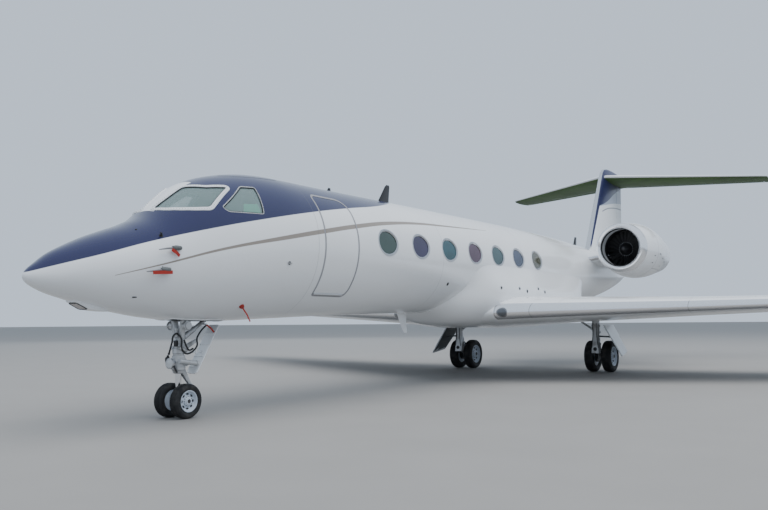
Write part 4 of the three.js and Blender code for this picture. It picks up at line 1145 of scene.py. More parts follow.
def fuselage():
    materials = [PAINT, LINING]
    hull = hull_shell("fuselage_skin", 0, TAIL_END)
    cutters = []
    for side in SIDES.values():
        level = (side, 0, 0)
        for i in range(WINDOW_COUNT):
            cutters.append(prism(window_outline(i, side), level, 0.6, 0.2, 1, materials))
        for kind, outline, way in cockpit_openings(side):
            deep = 0.5 if kind == "side_window" else 0.2
            cutters.append(prism(outline, way, deep, deep, 0, materials))
    cutters.append(prism(door_outline(), (1, 0, 0), 0.6, 0.4, 0, materials))
    cut(hull, cutters)
    hull_normals(hull)
    stands_for = ["nose_radome", "cockpit_shell", "cabin_shell", "aft_fuselage"]
    finished(hull, "root", stands_for, "white_paint_metal")


def entry_door():
    leaf = hull_shell("entry_door_leaf", 4.6, 6.0)
    cut(leaf, [prism(door_outline(DOOR_GAP), (1, 0, 0), 0.6, 0.4, 0, [PAINT, LINING])], "INTERSECT")
    hull_normals(leaf)
    finished(leaf, "entry_door", ["entry_door"], "white_paint_metal")


def hull_trim():
    """Pale rims of the cabin windows, thick frames of the cockpit glass and the seal line of the door."""
    for name, side in SIDES.items():
        rims, frames, gaskets = Shape(), Shape(), Shape()
        for i in range(WINDOW_COUNT):
            rims.add(ring_strip(window_outline(i, side), (side, 0, 0), MOULDINGS["cabin"]))
        for kind, outline, way in cockpit_openings(side):
            frames.add(ring_strip(outline, way, MOULDINGS[kind]))
            gaskets.add(ring_strip(outline, way, MOULDINGS["gasket"]))
        rims.piece(f"cabin_window_rims_{name}", [SATIN_METAL], slot="wheel_metal")
        frames.piece(f"cockpit_window_frames_{name}", [WINDOW_RIM], slot="wheel_metal")
        gaskets.piece(f"cockpit_window_gaskets_{name}", [PANEL_BLACK], slot="panel_plastic")
    made("entry_door_seal", ring_strip(resampled(door_outline(), 200), (1, 0, 0), MOULDINGS["door"]), SEAM)


def panes():
    for name, side in SIDES.items():
        cabin = Shape()
        for i in range(WINDOW_COUNT):
            cabin.add(pane(window_outline(i, side, PANE_LAP), (side, 0, 0), 0.022))
        cabin.piece(f"cabin_panes_{name}", [CABIN_GLASS], "root", [f"cabin_glass_{name}"], "window_glass")
        for kind, outline, way in cockpit_openings(side):
            skin = pane(grown(outline, PANE_LAP, way), way, 0.012)
            made(f"{kind}_pane_{name}", skin, COCKPIT_GLASS, "root", [f"{kind}_{name}"], "window_glass")


def fairing_ring(station, low=40, high=24):
    """A superellipse below the middle, and flanks that ease in against the hull above it."""
    keel, half = spline(FAIRING[:, 0], FAIRING[:, 1:], station)
    top = hull_section(station)[3] - FAIRING_TUCK
    angle = np.arange(low) / low * math.pi / 2
    out, down = np.sin(angle) ** (2 / FAIRING_POWER), np.cos(angle) ** (2 / FAIRING_POWER)
    t = np.linspace(0, 1, high)
    x = np.concatenate([half * out, half + (top - half) * (3 * t**2 - 2 * t**3)])
    above = FAIRING_MIDDLE + (FAIRING_CROWN - FAIRING_MIDDLE) * t
    z = np.concatenate([FAIRING_MIDDLE - (FAIRING_MIDDLE - keel) * down, above])
    port = np.column_stack([x, np.full(len(x), station + AFT), z])
    return np.vstack([port, (port[1:] * (-1, 1, 1))[::-1]])


def belly_fairing():
    front, back = FAIRING[0, 0], FAIRING[-1, 0]
    rings = [fairing_ring(station) for station in np.linspace(front, back, 90)]
    fairing = Shape().add(loft(rings)).piece("belly_fairing_skin", [WHITE_PAINT], body=None)
    cutters = [cutter([hull_ring(s, 72, SKIN * 0.4) for s in np.linspace(front - 0.5, back + 0.5, 40)])]
    for side in SIDES.values():
        over = range(FAIRED_WINDOW, WINDOW_COUNT)
        cutters += [prism(window_outline(i, side, 0.01), (side, 0, 0), 0.6, 0.2) for i in over]
    carved(fairing, cutters, "root", "belly_fairing", "white_paint_composite", crease=35)


# Aerofoils

EDGE_STEPS = np.array([0.02, 0.1, 0.27, 0.55, 1.0])
EDGE_ROWS, REST_ROWS = 5, 26
NARROW_EDGE = (0.045, 0.012)  # metres of polished edge: at no chord, and more for each metre of it
WING_EDGE_WIDTH = (0.02, 0.034)
TAIL_EDGE = (0.012, 0.003)


def foil_steps(chord, width):
    """Shares of the chord, close together on the polished edge."""
    edge = (width[0] + width[1] * chord) / chord
    rest = np.linspace(0, 1, REST_ROWS + 1)[1:] ** 1.15
    return np.concatenate([EDGE_STEPS * edge, edge + (0.98 - edge) * rest])


def foil_half(share, ratio):
    s = np.asarray(share, float)
    return 5 * ratio * (0.2969 * np.sqrt(s) - 0.126 * s - 0.3516 * s**2 + 0.2843 * s**3 - 0.1036 * s**4)


def foil_ring(place, chord, ratio, normal, faces=(1, 1), width=NARROW_EDGE):
    """Section with its leading edge at a point and its thickness along a direction across the span."""
    place, normal = np.asarray(place, float), np.array([normal[0], 0, normal[1]])
    steps, aft = foil_steps(chord, width), np.array([0, chord, 0])
    middle = place + np.outer(steps, aft)
    half = foil_half(steps, ratio) * chord
    upper, lower = (np.outer(share * half + EDGE_HALF * steps, normal) for share in faces)
    edge = [place + aft + normal * EDGE_HALF, place + aft - normal * EDGE_HALF]
    return np.vstack([[place], middle + upper, edge, (middle - lower)[::-1]]) + np.array([0, AFT, 0])


def foil_slots(rows, painted=0, lower=0):
    """Face slots of a loft of foils: 1 on the polished edge, but not on the first, painted rows."""
    width = 2 * (EDGE_ROWS + REST_ROWS) + 3
    plain = [lower if j > width // 2 else 0 for j in range(width)]
    edged = [1] * EDGE_ROWS + plain[EDGE_ROWS:width - EDGE_ROWS] + [1] * EDGE_ROWS
    return [0] * width * painted + edged * (rows - 1 - painted) + [0, 0]


def spread(rows, steps):
    """Rows of a table with straight-line rows added between them."""
    out = [rows[0]]
    for a, b in zip(rows[:-1], rows[1:]):
        out += [a + (b - a) * t for t in np.linspace(0, 1, steps + 1)[1:]]
    return np.array(out)


def wing_rows():
    """Straight rows out to the winglet, then smooth ones up it."""
    flat, tip = spread(WING[:FLAT_ROWS], 8), WING[FLAT_ROWS - 1:]
    walked = distances(tip[:, [0, 2]])
    return np.vstack([flat, spline(walked, tip, np.linspace(0, walked[-1], 26)[1:])])


def wing_solid(name, side, materials):
    rings, rows = [], wing_rows()
    for x, y, z, chord, ratio, cant in rows:
        lean = math.radians(cant)
        normal = (-math.sin(lean) * side, math.cos(lean))
        rings.append(foil_ring((side * x, y, z), chord, ratio, normal, WING_FACES, WING_EDGE_WIDTH))
    return Shape().add(loft(rings), foil_slots(len(rows), 2)).piece(name, materials, body=None)


def upright_cutter(outline):
    """Cutter through the whole wing, from an outline seen from above."""
    return cutter([[(x, y + AFT, z) for x, y in outline] for z in (0.6, 2.6)])


def flap_region(side, flap, gap=None):
    """Cutter aft of a flap's front face, seen from above; with a gap it is the room round the flap."""
    gap = gap or {"front": 0, "side": 0}
    (x0, x1), (y0, y1) = flap["x"], flap["front"]
    slope = (y1 - y0) / (x1 - x0)
    inner, outer = x0 - gap["side"], x1 + gap["side"]
    front = (y0 - slope * gap["side"] - gap["front"], y1 + slope * gap["side"] - gap["front"])
    drawn_in = 0 if gap["side"] else flap["taper"] * FLAP_REACH
    back = [y + FLAP_REACH for y in front]
    corners = [(inner, front[0]), (outer, front[1]), (outer - drawn_in, back[1]), (inner, back[0])]
    return upright_cutter([(side * x, y) for x, y in corners])


def nose_outline(radius, gap, reach, depth):
    """Section of the room aft of a rounded nose on a hinge line: u aft, v across."""
    r = radius + gap
    lip, swing = (-0.35 * radius, 67.5) if gap else (0, 90)
    angles = np.radians(np.linspace(180 - swing, 180 + swing, 16))
    arc = [(r * math.cos(a), r * math.sin(a)) for a in angles]
    return [(reach, depth), (lip, depth), *arc, (lip, -depth), (reach, -depth)]


def hinged_region(ends, gap, depth, way, faces=(1, 1)):
    """Cutter aft of a rounded nose on a hinge line.

    Each end is x, leading edge station, z, chord, thickness ratio and the hinge's share of the chord;
    way is the direction across the chord, as x and z.
    """
    sections = []
    for x, y, z, chord, ratio, share in ends:
        half = float(foil_half(share, ratio)) * chord
        rise, radius = (faces[0] - faces[1]) / 2 * half, 0.97 * (faces[0] + faces[1]) / 2 * half
        outline = [(y + share * chord + u + AFT, rise + v) for u, v in nose_outline(radius, gap, 2.5, depth)]
        sections.append([(x + off * way[0], aft, z + off * way[1]) for aft, off in outline])
    return cutter(sections)


def end_rows(table, ends, room):
    """Sections at the two ends of a control surface, with room at each end."""
    return [table_row(table, ends[0] - room), table_row(table, ends[1] + room)]


def aileron_region(side, gap):
    rows = end_rows(WING, AILERON["x"], NOSE_GAP if gap else 0)
    ends = [(side * x, y, z, chord, ratio, AILERON["share"]) for x, y, z, chord, ratio, _ in rows]
    return hinged_region(ends, gap, 0.6, (0, 1), WING_FACES)


def wings():
    materials = [WING_PAINT, WING_EDGE]
    (x0, x1), (y0, y1) = FLAP_BREAK
    for name, side in SIDES.items():
        regions = [flap_region(side, flap, FLAP_GAP) for flap in FLAPS.values()]
        regions.append(upright_cutter([(side * x, y) for x, y in ((x0, y0), (x1, y0), (x1, y1), (x0, y1))]))
        regions.append(aileron_region(side, NOSE_GAP))
        skin = wing_solid(f"wing_skin_{name}", side, materials)
        carved(skin, regions, "root", f"wing_{name}", "white_paint_metal")
        moving = {f"flap_{k}_{name}": flap_region(side, flap) for k, flap in FLAPS.items()}
        moving[f"aileron_{name}"] = aileron_region(side, 0)
        for body, region in moving.items():
            surface = wing_solid(f"{body}_skin", side, materials)
            carved(surface, [region], body, body, "white_paint_composite", "INTERSECT")


# Tail

def tailplane_solid(name, materials):
    rows = spread(TAILPLANE, 8)
    rows = np.vstack([rows[:0:-1] * np.array([-1, 1, 1, 1, 1]), rows])
    rings = [foil_ring((x, y, z), chord, ratio, (0, 1), width=TAIL_EDGE) for x, y, z, chord, ratio in rows]
    return Shape().add(loft(rings), foil_slots(len(rows), 0, 2)).piece(name, materials, body=None)


def elevator_region(side, gap):
    rows = end_rows(TAILPLANE, ELEVATOR["x"], END_GAP if gap else 0)
    ends = [(side * x, y, z, chord, ratio, ELEVATOR["share"]) for x, y, z, chord, ratio in rows]
    return hinged_region(ends, gap, 0.5, (0, 1))


def fin_solid(name, table, materials, steps=10):
    rows = spread(table, steps)
    rings = [foil_ring((0, y, z), chord, ratio, (1, 0)) for z, y, chord, ratio in rows]
    return Shape().add(loft(rings), foil_slots(len(rows))).piece(name, materials, body=None)


def rudder_region(gap):
    rows = end_rows(FIN, RUDDER["z"], NOSE_GAP if gap else 0)
    ends = [(0, y, z, chord, ratio, share) for (z, y, chord, ratio), share in zip(rows, RUDDER["share"])]
    return hinged_region(ends, gap, 0.5, (1, 0))


def tail():
    painted, plain = [FIN_PAINT, POLISHED], [WHITE_PAINT, POLISHED, GRASS_REFLECTION_GLOSS]
    fixed, moving = "white_paint_metal", "white_paint_composite"
    carved(fin_solid("fin_skin", FIN, painted), [rudder_region(NOSE_GAP)], "root", "fin", fixed)
    rudder = fin_solid("rudder_skin", FIN, painted)
    carved(rudder, [rudder_region(0)], "rudder", "rudder", moving, "INTERSECT")
    finished(fin_solid("fin_tip_cap", FIN_TIP, painted, 4), "root", (), fixed)
    gaps = [elevator_region(side, NOSE_GAP) for side in SIDES.values()]
    carved(tailplane_solid("tailplane_skin", plain), gaps, "root", "stabiliser", fixed)
    for name, side in SIDES.items():
        body = f"elevator_{name}"
        surface = tailplane_solid(f"{body}_skin", plain)
        carved(surface, [elevator_region(side, 0)], body, body, moving, "INTERSECT")


# Engines

def engine_at(side):
    return np.array([side * ENGINE[0], ENGINE[1] + AFT, ENGINE[2]])


def nacelles():
    outside, inside = smooth_profile(COWL), smooth_profile(DUCT)[:-1]
    kinds = [1 if along < LIP_REACH else 0 for _, along in outside]
    kinds += [next((slot for reach, slot in INTAKE_BANDS if along < reach), 3) for _, along in inside]
    profile, sides = np.vstack([outside, inside]), 96
    slots = [kind for kind in kinds for _ in range(sides)]
    materials = [COWL_PAINT, LIP, DUCT_LINER, SOOTED, FAN_CASE_AND_SHADE]
    for name, side in SIDES.items():
        cowl = Shape().add(turned(profile, engine_at(side), "y", sides, closed=True), slots)
        cowl.piece(f"nacelle_skin_{name}", materials, "root", [f"nacelle_{name}"], "white_paint_composite")


def pylons():
    rows = spread(PYLON, 6)
    for name, side in SIDES.items():
        rings = [foil_ring((side * x, y, z), chord, ratio, (0, 1)) for x, y, z, chord, ratio in rows]
        skin, materials = Shape().add(loft(rings), foil_slots(len(rows))), [WHITE_PAINT, POLISHED]
        skin.piece(f"pylon_skin_{name}", materials, "root", [f"pylon_{name}"], "white_paint_metal")


def cores_and_fans():
    axis, count, sides = (0, 1, 0), FAN["blades"], 64
    mark = beam((-0.01, 0.768, 0.217), (0.01, 0.768, 0.217), axis, 0.008, 0.014)
    vane = beam((0, 1.045, 0.23), (0, 1.045, 0.615), (1, 0, 0), 0.018, (0.03, 0.062))
    core_slots = [0] * sides * (len(CORE) - 1) + [1, 0]
    for name, side in SIDES.items():
        centre, fan, core = engine_at(side), f"fan_{name}", f"engine_core_{name}"
        shape = Shape().add(turned(CORE, centre, "y", sides), core_slots)
        shape.piece(f"{core}_shape", [SOOTED, FAN_CASE_AND_SHADE], "root", [core], "engine_metal")
        made(f"fan_spinner_{name}", turned(SPINNER, centre, "y", 48), BLADE_BLACK, fan, [fan], "engine_metal")
        ring_of(f"fan_root_marks_{name}", mark, count, axis, centre, SATIN_METAL, fan)
        ring_of(f"stator_vanes_{name}", vane, count, axis, centre, GREASED)
        ring_of(f"fan_blades_{name}", fan_blade(side), count, axis, centre, TITANIUM, fan)


def fan_blade(side):
    """One blade along +Z, turned more across the flow towards its tip."""
    rings = []
    for radius, pitch, thick, chord in FAN_BLADE:
        lean = math.radians(pitch)
        along = np.array([math.sin(lean) * side, math.cos(lean), 0])
        across = np.array([math.cos(lean) * side, -math.sin(lean), 0])
        middle = [
            (0, FAN["plane"], radius) + along * chord * share + across * 0.05 * (1 - 4 * share**2) * chord
            for share, _ in BLADE_FORM
        ]
        offs = [across * half * thick for _, half in BLADE_FORM]
        front, back = ([m + way * off for m, off in zip(middle, offs)] for way in (1, -1))
        rings.append(front + back[::-1])
    return loft(rings)


# Wheels and landing gear

# Wall of a tyre, from the rim to the tread: share of its height, and of half its width
TYRE_WALL = [
    (0, 0.72), (0.12, 0.84), (0.16, 0.83), (0.3, 0.96), (0.5, 1), (0.7, 0.96), (0.86, 0.84), (0.955, 0.66),
]
# Wheel, from its inner face out to the hub cap: share of the rim, metres more, and share of the depth
WHEEL_SECTION = [
    (0, 0.001, -1), (0.97, 0, -1), (1, -0.0005, -0.9), (1, -0.0005, 1.1), (1, 0.004, 1.2), (1, 0.004, 1.27),
    (1, -0.006, 1.3), (0.9, 0, 1.1), (0.85, 0, 0.7), (0.72, 0, 0.5), (0.5, 0, 0.62), (0.42, 0, 0.9),
    (0.34, 0, 0.95), (0.32, 0, 1.15), (0.29, 0, 1.22), (0.2, 0, 1.24), (0.18, 0, 1.12), (0.06, 0, 1.1),
    (0, 0.001, 1.1),
]


def tyre_profile(gear, grooves=4):
    """Section of a tyre from rim to rim, with grooves round the tread."""
    half, rim, radius = gear["width"] / 2, gear["rim"], gear["tyre"]
    height = radius - rim
    wall = [(rim + height * up, -half * out) for up, out in TYRE_WALL]
    width, depth = half * 0.05, height * 0.07
    tread = []
    for k in range(grooves):
        middle = half * 0.56 * (2 * (k + 0.5) / grooves - 1)
        crown = radius - height * 0.03 * (middle / half) ** 2 * 3
        groove = [(crown, -1.3), (crown - depth, -1), (crown - depth, 1), (crown, 1.3)]
        tread += [(r, middle + width * across) for r, across in groove]
    return wall + tread + [(r, -d) for r, d in reversed(wall)]


CAP_STEP = 15  # the step of the profile where the dark hub cap begins
BOLT_COUNT, HOLE_SHADE_COUNT = 12, 8


def wheel(name, gear, centre, out, body):
    """Rim with bolts, and black discs on its face as painted shade of its cooling holes, seen from the side
    that it faces; out is 1 or -1 along X.
    """
    sides, rim, half = 64, gear["rim"], gear["width"] * 0.34
    profile = [(rim * share + more, half * depth) for share, more, depth in WHEEL_SECTION]
    slots = [1 if i >= CAP_STEP else 0 for i in range(len(profile) - 1) for _ in range(sides)] + [0, 1]
    skin = turned([(r, d * out) for r, d in profile], centre, "x", sides)
    Shape().add(skin, slots).piece(f"{name}_rim", [WHEEL_ENAMEL, GREASED], body, slot="wheel_metal")
    head = [(0.001, 0), (rim * 0.036, 0), (rim * 0.036, 0.012), (rim * 0.026, 0.016), (0.001, 0.016)]
    plug = [(0.001, 0), (rim * 0.085, 0), (rim * 0.085, 0.012), (0.001, 0.012)]
    bolt, hole_shade = turned(head, (0, rim * 0.46, 0), "x", 6), turned(plug, (0, rim * 0.68, 0), "x", 16)
    for kind, (points, faces), stretch, count, depth, finish in (
        ("bolts", bolt, 1, BOLT_COUNT, half * 0.72, GREASED),
        # The holes are black discs on the rim's face: painted shade of cooling holes.
        ("holes", hole_shade, 1.7, HOLE_SHADE_COUNT, half * 0.56 - 0.006, PANEL_BLACK),
    ):
        place = (centre[0] + out * depth, *centre[1:])
        ring_of(f"{name}_{kind}", (points * (out, 1, stretch), faces), count, (1, 0, 0), place, finish, body)


def wheels():
    for name, side in SIDES.items():
        spots = [(f"nose_tyre_{name}", NOSE_GEAR, side * NOSE_GEAR["spread"], side, "nose_wheels")]
        for which, way in (("outer", 1), ("inner", -1)):
            x = side * (MAIN_GEAR["x"] + way * MAIN_GEAR["spread"])
            spots.append((f"main_tyre_{which}_{name}", MAIN_GEAR, x, side * way, f"main_wheels_{name}"))
        for node, gear, x, out, body in spots:
            centre = (x, gear["y"] + AFT, gear["axle"])
            tyre = turned(tyre_profile(gear), centre, "x", 96, closed=True)
            made(f"{node}_tread", tyre, RUBBER, body, [node], "tyre_rubber")
            wheel(node.replace("tyre", "wheel"), gear, centre, out, body)
        x = side * MAIN_GEAR["x"]
        axle_of(f"main_axle_{name}", MAIN_GEAR, x, 0.048, f"main_wheels_{name}", f"main_hubs_{name}")
    axle_of("nose_axle", NOSE_GEAR, 0, 0.03, "nose_wheels", "nose_hubs")


def axle_of(name, gear, x, radius, body, node):
    reach = gear["spread"] - gear["width"] * 0.3
    y, z = gear["y"] + AFT, gear["axle"]
    made(name, rod((x - reach, y, z), (x + reach, y, z), radius, 32), CHROME, body, [node], "wheel_metal")


NOSE_ORIGIN = (0, NOSE_GEAR["y"] + AFT, 0)
NOSE_STRUT = [
    (0.001, 1.27), (0.05, 1.265), (0.066, 1.235), (0.07, 1.2), (0.085, 1.19), (0.085, 1.15), (0.076, 1.14),
    (0.078, 1.07), (0.096, 1.06), (0.1, 0.995), (0.086, 0.985), (0.084, 0.9605), (0.001, 0.9605),
]
NOSE_CLAMP = [(0.07, 1.105), (0.0815, 1.105), (0.0815, 1.12), (0.07, 1.12)]
# Bars: what makes it, two ends as x, distance aft of the leg and height, then the sizes that this takes
NOSE_LEG_MIDDLE = [
    (rod, (0, 0, 1.18), (0, 0.62, 1.56), 0.034),
    (rod, (-0.1, 0.01, 1.5), (0.1, 0.01, 1.5), 0.022),
    (rod, (0, 0.1, 1.241), (0, 0.3, 1.364), 0.046),
    (rod, (-0.06, 0.02, 1.2), (0.06, 0.02, 1.2), 0.045),
    (beam, (0, 0.03, 1.04), (0, 0.34, 1.18), (1, 0, 0), (0.1, 0.05), 0.07),
    (beam, (0, -0.04, 1.3), (0, -0.115, 1.3), (0, 0, 1), 0.05, 0.12),
    (beam, (0, -0.08, 1.24), (0, -0.08, 1.38), (0, 1, 0), 0.09, 0.05),
]
NOSE_LEG_SIDES = [
    (rod, (0.02, 0, 1.13), (0.13, 0, 1.62), 0.05, 24, 0.056),
    (rod, (0.11, 0, 1.42), (0.23, 0, 1.42), 0.06, 32),
    (rod, (0.19, 0, 1.42), (0.205, 0, 1.42), 0.075, 32),
    (rod, (0.085, -0.07, 1.08), (0.085, 0.09, 1.03), 0.03),
    (beam, (0.04, 0, 1.07), (0.1, 0, 1.07), (0, 1, 0), 0.05, 0.07),
]
STEERING_COLLAR = [
    (0.001, 0.9597), (0.1, 0.9597), (0.1, 0.93), (0.112, 0.922), (0.112, 0.866), (0.1, 0.858), (0.1, 0.79),
    (0.108, 0.782), (0.108, 0.742), (0.094, 0.73), (0.085, 0.69), (0.06, 0.68), (0.001, 0.68),
]
PISTON_FOOT = [(0.001, 0.4), (0.056, 0.4), (0.062, 0.37), (0.062, 0.28), (0.001, 0.27)]
STEERING_MIDDLE = [
    (rod, (-0.07, 0, NOSE_GEAR["axle"]), (0.07, 0, NOSE_GEAR["axle"]), 0.06, 40),
    (rod, (-0.05, 0.235, 0.5), (0.05, 0.235, 0.5), 0.016),
    (beam, (0, -0.02, 0.8), (0, -0.13, 0.8), (0, 0, 1), 0.05, 0.03),
]
STEERING_SIDES = [
    (rod, (0.12, -0.09, 0.88), (0.12, 0.24, 0.83), 0.04),
    (rod, (0.12, 0.24, 0.83), (0.12, 0.28, 0.824), 0.05),
    (beam, (0.03, 0.06, 0.74), (0.012, 0.235, 0.5), (1, 0, 0), (0.09, 0.04), 0.018),
    (beam, (0.012, 0.235, 0.5), (0.03, 0.03, 0.31), (1, 0, 0), (0.04, 0.08), 0.018),
]
NOSE_PISTON = [(rod, (0, 0, 0.36), (0, 0, 0.69), 0.046, 40)]
LAMP_HEIGHT = 0.84
LAMP_SHELL = [
    (0.001, -0.07), (0.04, -0.072), (0.062, -0.1), (0.08, -0.15), (0.082, -0.185), (0.074, -0.188),
    (0.07, -0.178), (0.001, -0.172),
]
LAMP_LENS = [(0.001, -0.19), (0.04, -0.188), (0.07, -0.181), (0.07, -0.174), (0.001, -0.174)]


def nose_leg():
    leg = Shape().add(turned(NOSE_STRUT, NOSE_ORIGIN, "z", 40)).bars(NOSE_ORIGIN, NOSE_LEG_MIDDLE)
    for side in SIDES.values():
        leg.bars(NOSE_ORIGIN, NOSE_LEG_SIDES, side)
    leg.piece("nose_leg_casting", [ENAMEL], nodes=["nose_gear_leg"], slot="gear_steel")
    clamp = turned(NOSE_CLAMP, NOSE_ORIGIN, "z", 40, closed=True)
    made("nose_leg_clamps", clamp, SATIN_METAL, slot="gear_steel")


def nose_fork():
    """Everything under the leg that steers: collar, piston, axle boss, links and lamp."""
    steering = Shape().add(turned(STEERING_COLLAR, NOSE_ORIGIN, "z", 48))
    steering.add(turned(PISTON_FOOT, NOSE_ORIGIN, "z", 40)).bars(NOSE_ORIGIN, STEERING_MIDDLE)
    for side in SIDES.values():
        steering.bars(NOSE_ORIGIN, STEERING_SIDES, side)
    steering.piece("nose_steering_unit", [ENAMEL], "nose_steering", ["nose_steering"], "gear_steel")
    piston = Shape().bars(NOSE_ORIGIN, NOSE_PISTON)
    piston.piece("nose_piston", [CHROME], "nose_steering", slot="gear_steel")
    place = (0, NOSE_ORIGIN[1], LAMP_HEIGHT)
    made("taxi_lamp_shell", turned(LAMP_SHELL, place, "y", 48), SATIN_METAL, "nose_steering")
    made("taxi_lamp_lens", turned(LAMP_LENS, place, "y", 40), LAMP_GLASS, "nose_steering")


LEG_HOSES = [
    [(0.1, 0.48, 1.43), (0.1, 0.34, 1.31), (0.11, 0.27, 1.21), (0.11, 0.28, 1.116), (0.11, 0.19, 1.018),
     (0.105, 0.06, 0.985), (0.11, -0.03, 1.057), (0.105, -0.05, 1.233), (0.06, -0.1, 1.3), (0.0, -0.12, 1.25),
     (-0.01, -0.12, 1.19)],
    [(-0.005, -0.12, 1.2), (-0.041, -0.12, 1.096), (-0.086, -0.12, 0.98)],
    [(0.12, 0.0, 1.2), (0.13, 0.04, 1.1), (0.125, 0.1, 1.04), (0.1, 0.2, 1.06)],
]  # x, distance aft of the leg, height
COLLAR_HOSES = [
    [(-0.1, -0.12, 0.955), (-0.12, -0.12, 0.93), (-0.133, -0.13, 0.862), (-0.062, -0.13, 0.843)],
    [(0.02, -0.13, 0.87), (0.065, -0.14, 0.8), (0.1, -0.11, 0.7)],
]
HOSE_RADIUS, UNION_RADIUS = 0.0145, 0.02
LEG_UNIONS = [
    (rod, (-0.08, -0.12, 0.995), (-0.087, -0.12, 0.974), UNION_RADIUS),
    (beam, (0.035, -0.085, 1.19), (0.035, -0.085, 1.1), (0, 1, 0), 0.05, 0.06),
]
COLLAR_UNIONS = [(rod, (-0.097, -0.12, 0.96), (-0.108, -0.12, 0.942), UNION_RADIUS)]
HOSE_EYE = [(0.03, -0.1), (0.042, -0.1), (0.042, -0.13), (0.03, -0.13)]


def nose_hoses():
    """Hydraulic lines in black rubber: some stay with the leg, and some turn with its collar."""
    still, turning = Shape().bars(NOSE_ORIGIN, LEG_UNIONS), Shape().bars(NOSE_ORIGIN, COLLAR_UNIONS)
    for shape, runs in ((still, LEG_HOSES), (turning, COLLAR_HOSES)):
        for run in runs:
            shape.add(tube(curved(np.array(run) + NOSE_ORIGIN), HOSE_RADIUS, 10))
    turning.add(turned(HOSE_EYE, (-0.12, NOSE_ORIGIN[1], 0.9), "y", 24, closed=True))
    still.piece("nose_leg_hoses", [BLADE_BLACK], slot="panel_plastic")
    turning.piece("nose_collar_hoses", [BLADE_BLACK], "nose_steering", slot="panel_plastic")


def leg_streamer():
    """Strip of red webbing on the pin in the nose leg's brace."""
    y = NOSE_ORIGIN[1]
    pin = made("gear_pin", rod((0.0, y + 0.46, 1.44), (0.12, y + 0.46, 1.44), 0.012), SATIN_METAL)
    streamer("gear_pin_streamer", (0.115, y + 0.47, 1.43), (0.1, 0.8, -0.6), PIN_STREAMER)


NOSE_DOOR = {"half": 0.118, "top": (0.735, 1.435), "foot": (0.26, 0.67), "thick": 0.0213}  # aft and height
NOSE_DOOR_ROD = [
    (rod, (0, 0.04, 1.0), (0, 0.47, 1.0), 0.015),
    (rod, (-0.03, 0.465, 1.0), (0.03, 0.465, 1.0), 0.018),
]


def nose_door():
    top, foot = (np.array([0, *NOSE_DOOR[end]]) + NOSE_ORIGIN for end in ("top", "foot"))
    half = np.array([NOSE_DOOR["half"], 0, 0])
    outline = rounded([top - half, top + half, foot + half, foot - half], (0.012, 0.012, 0.06, 0.06))
    across = np.cross((1, 0, 0), foot - top)
    across *= NOSE_DOOR["thick"] / np.linalg.norm(across)
    leaf = slab(resampled(outline, 60), across)
    made("nose_door_leaf", leaf, WHITE_PAINT, "root", ["nose_gear_door"], "white_paint_composite")
    ribs = Shape().bars(NOSE_ORIGIN, NOSE_DOOR_ROD)
    for share in (0.18, 0.42, 0.66, 0.88):
        spot = top + (foot - top) * share
        ribs.add(beam(spot - (0.1, 0, 0), spot + (0.1, 0, 0), (0, -0.85, 0.53), 0.02, 0.03))
    ribs.piece("nose_door_ribs", [WHITE_PAINT], slot="gear_steel")


TRAIL = MAIN_GEAR["y"] - MAIN_GEAR["front"]  # the axle is this far aft of the strut
KNEE, AXLE = 0.64, MAIN_GEAR["axle"]
MAIN_STRUT = [
    (0.001, 1.69), (0.11, 1.69), (0.106, 1.36), (0.122, 1.35), (0.122, 1.29), (0.104, 1.28), (0.1, 0.98),
    (0.114, 0.97), (0.114, 0.9), (0.097, 0.89), (0.095, 0.72), (0.104, 0.7), (0.104, 0.6), (0.08, 0.58),
    (0.001, 0.58),
]
# Bars like the nose leg's, but their ends are distance outwards, distance aft of the strut and height
MAIN_LEG = [
    (rod, (0, 0, KNEE), (0, TRAIL, AXLE), 0.062, 32, 0.056),
    (rod, (-0.1, 0, KNEE), (0.1, 0, KNEE), 0.074, 32),
    (rod, (-0.075, TRAIL, AXLE), (0.075, TRAIL, AXLE), 0.084, 40),
    (rod, (0, 0.04, 1.24), (0, TRAIL - 0.2, 0.87), 0.052, 32),
    (rod, (-0.04, 0.04, 1.18), (-0.62, 0.01, 1.575), 0.022, 20),
    (rod, (-0.04, -0.04, 1.18), (-0.62, -0.07, 1.575), 0.022, 20),
    (rod, (-0.1, -0.07, 1.22), (-0.1, 0.07, 1.22), 0.03, 20),
    (beam, (0, 0, 1.02), (0, 0, 0.545), (0, 1, 0), (0.17, 0.25), (0.2, 0.24)),
    (beam, (0.09, 0, 1.13), (0.13, 0, 1.13), (0, 1, 0), 0.06, 0.05),
    (beam, (0.09, 0, 0.8), (0.13, 0, 0.8), (0, 1, 0), 0.06, 0.05),
]
SHOCK_ROD = [(rod, (0, TRAIL - 0.22, 0.888), (0, TRAIL - 0.06, AXLE + 0.11), 0.034, 32)]
BRAKES = [(rod, (way * 0.08, TRAIL, AXLE), (way * 0.143, TRAIL, AXLE), 0.165, 48) for way in (1, -1)]
# Thin black disc on the front of the foot: painted shade of the bore through it.
MAIN_BORE_SHADE = [(rod, (0, -0.121, 0.66), (0, -0.124, 0.66), 0.052, 32, None, 0.0005)]
MAIN_HOSE = [
    (0.05, -0.11, 1.4), (0.06, -0.115, 1.0), (0.09, -0.1, 0.7), (0.1, 0.15, 0.5), (0.11, TRAIL - 0.12, AXLE),
]


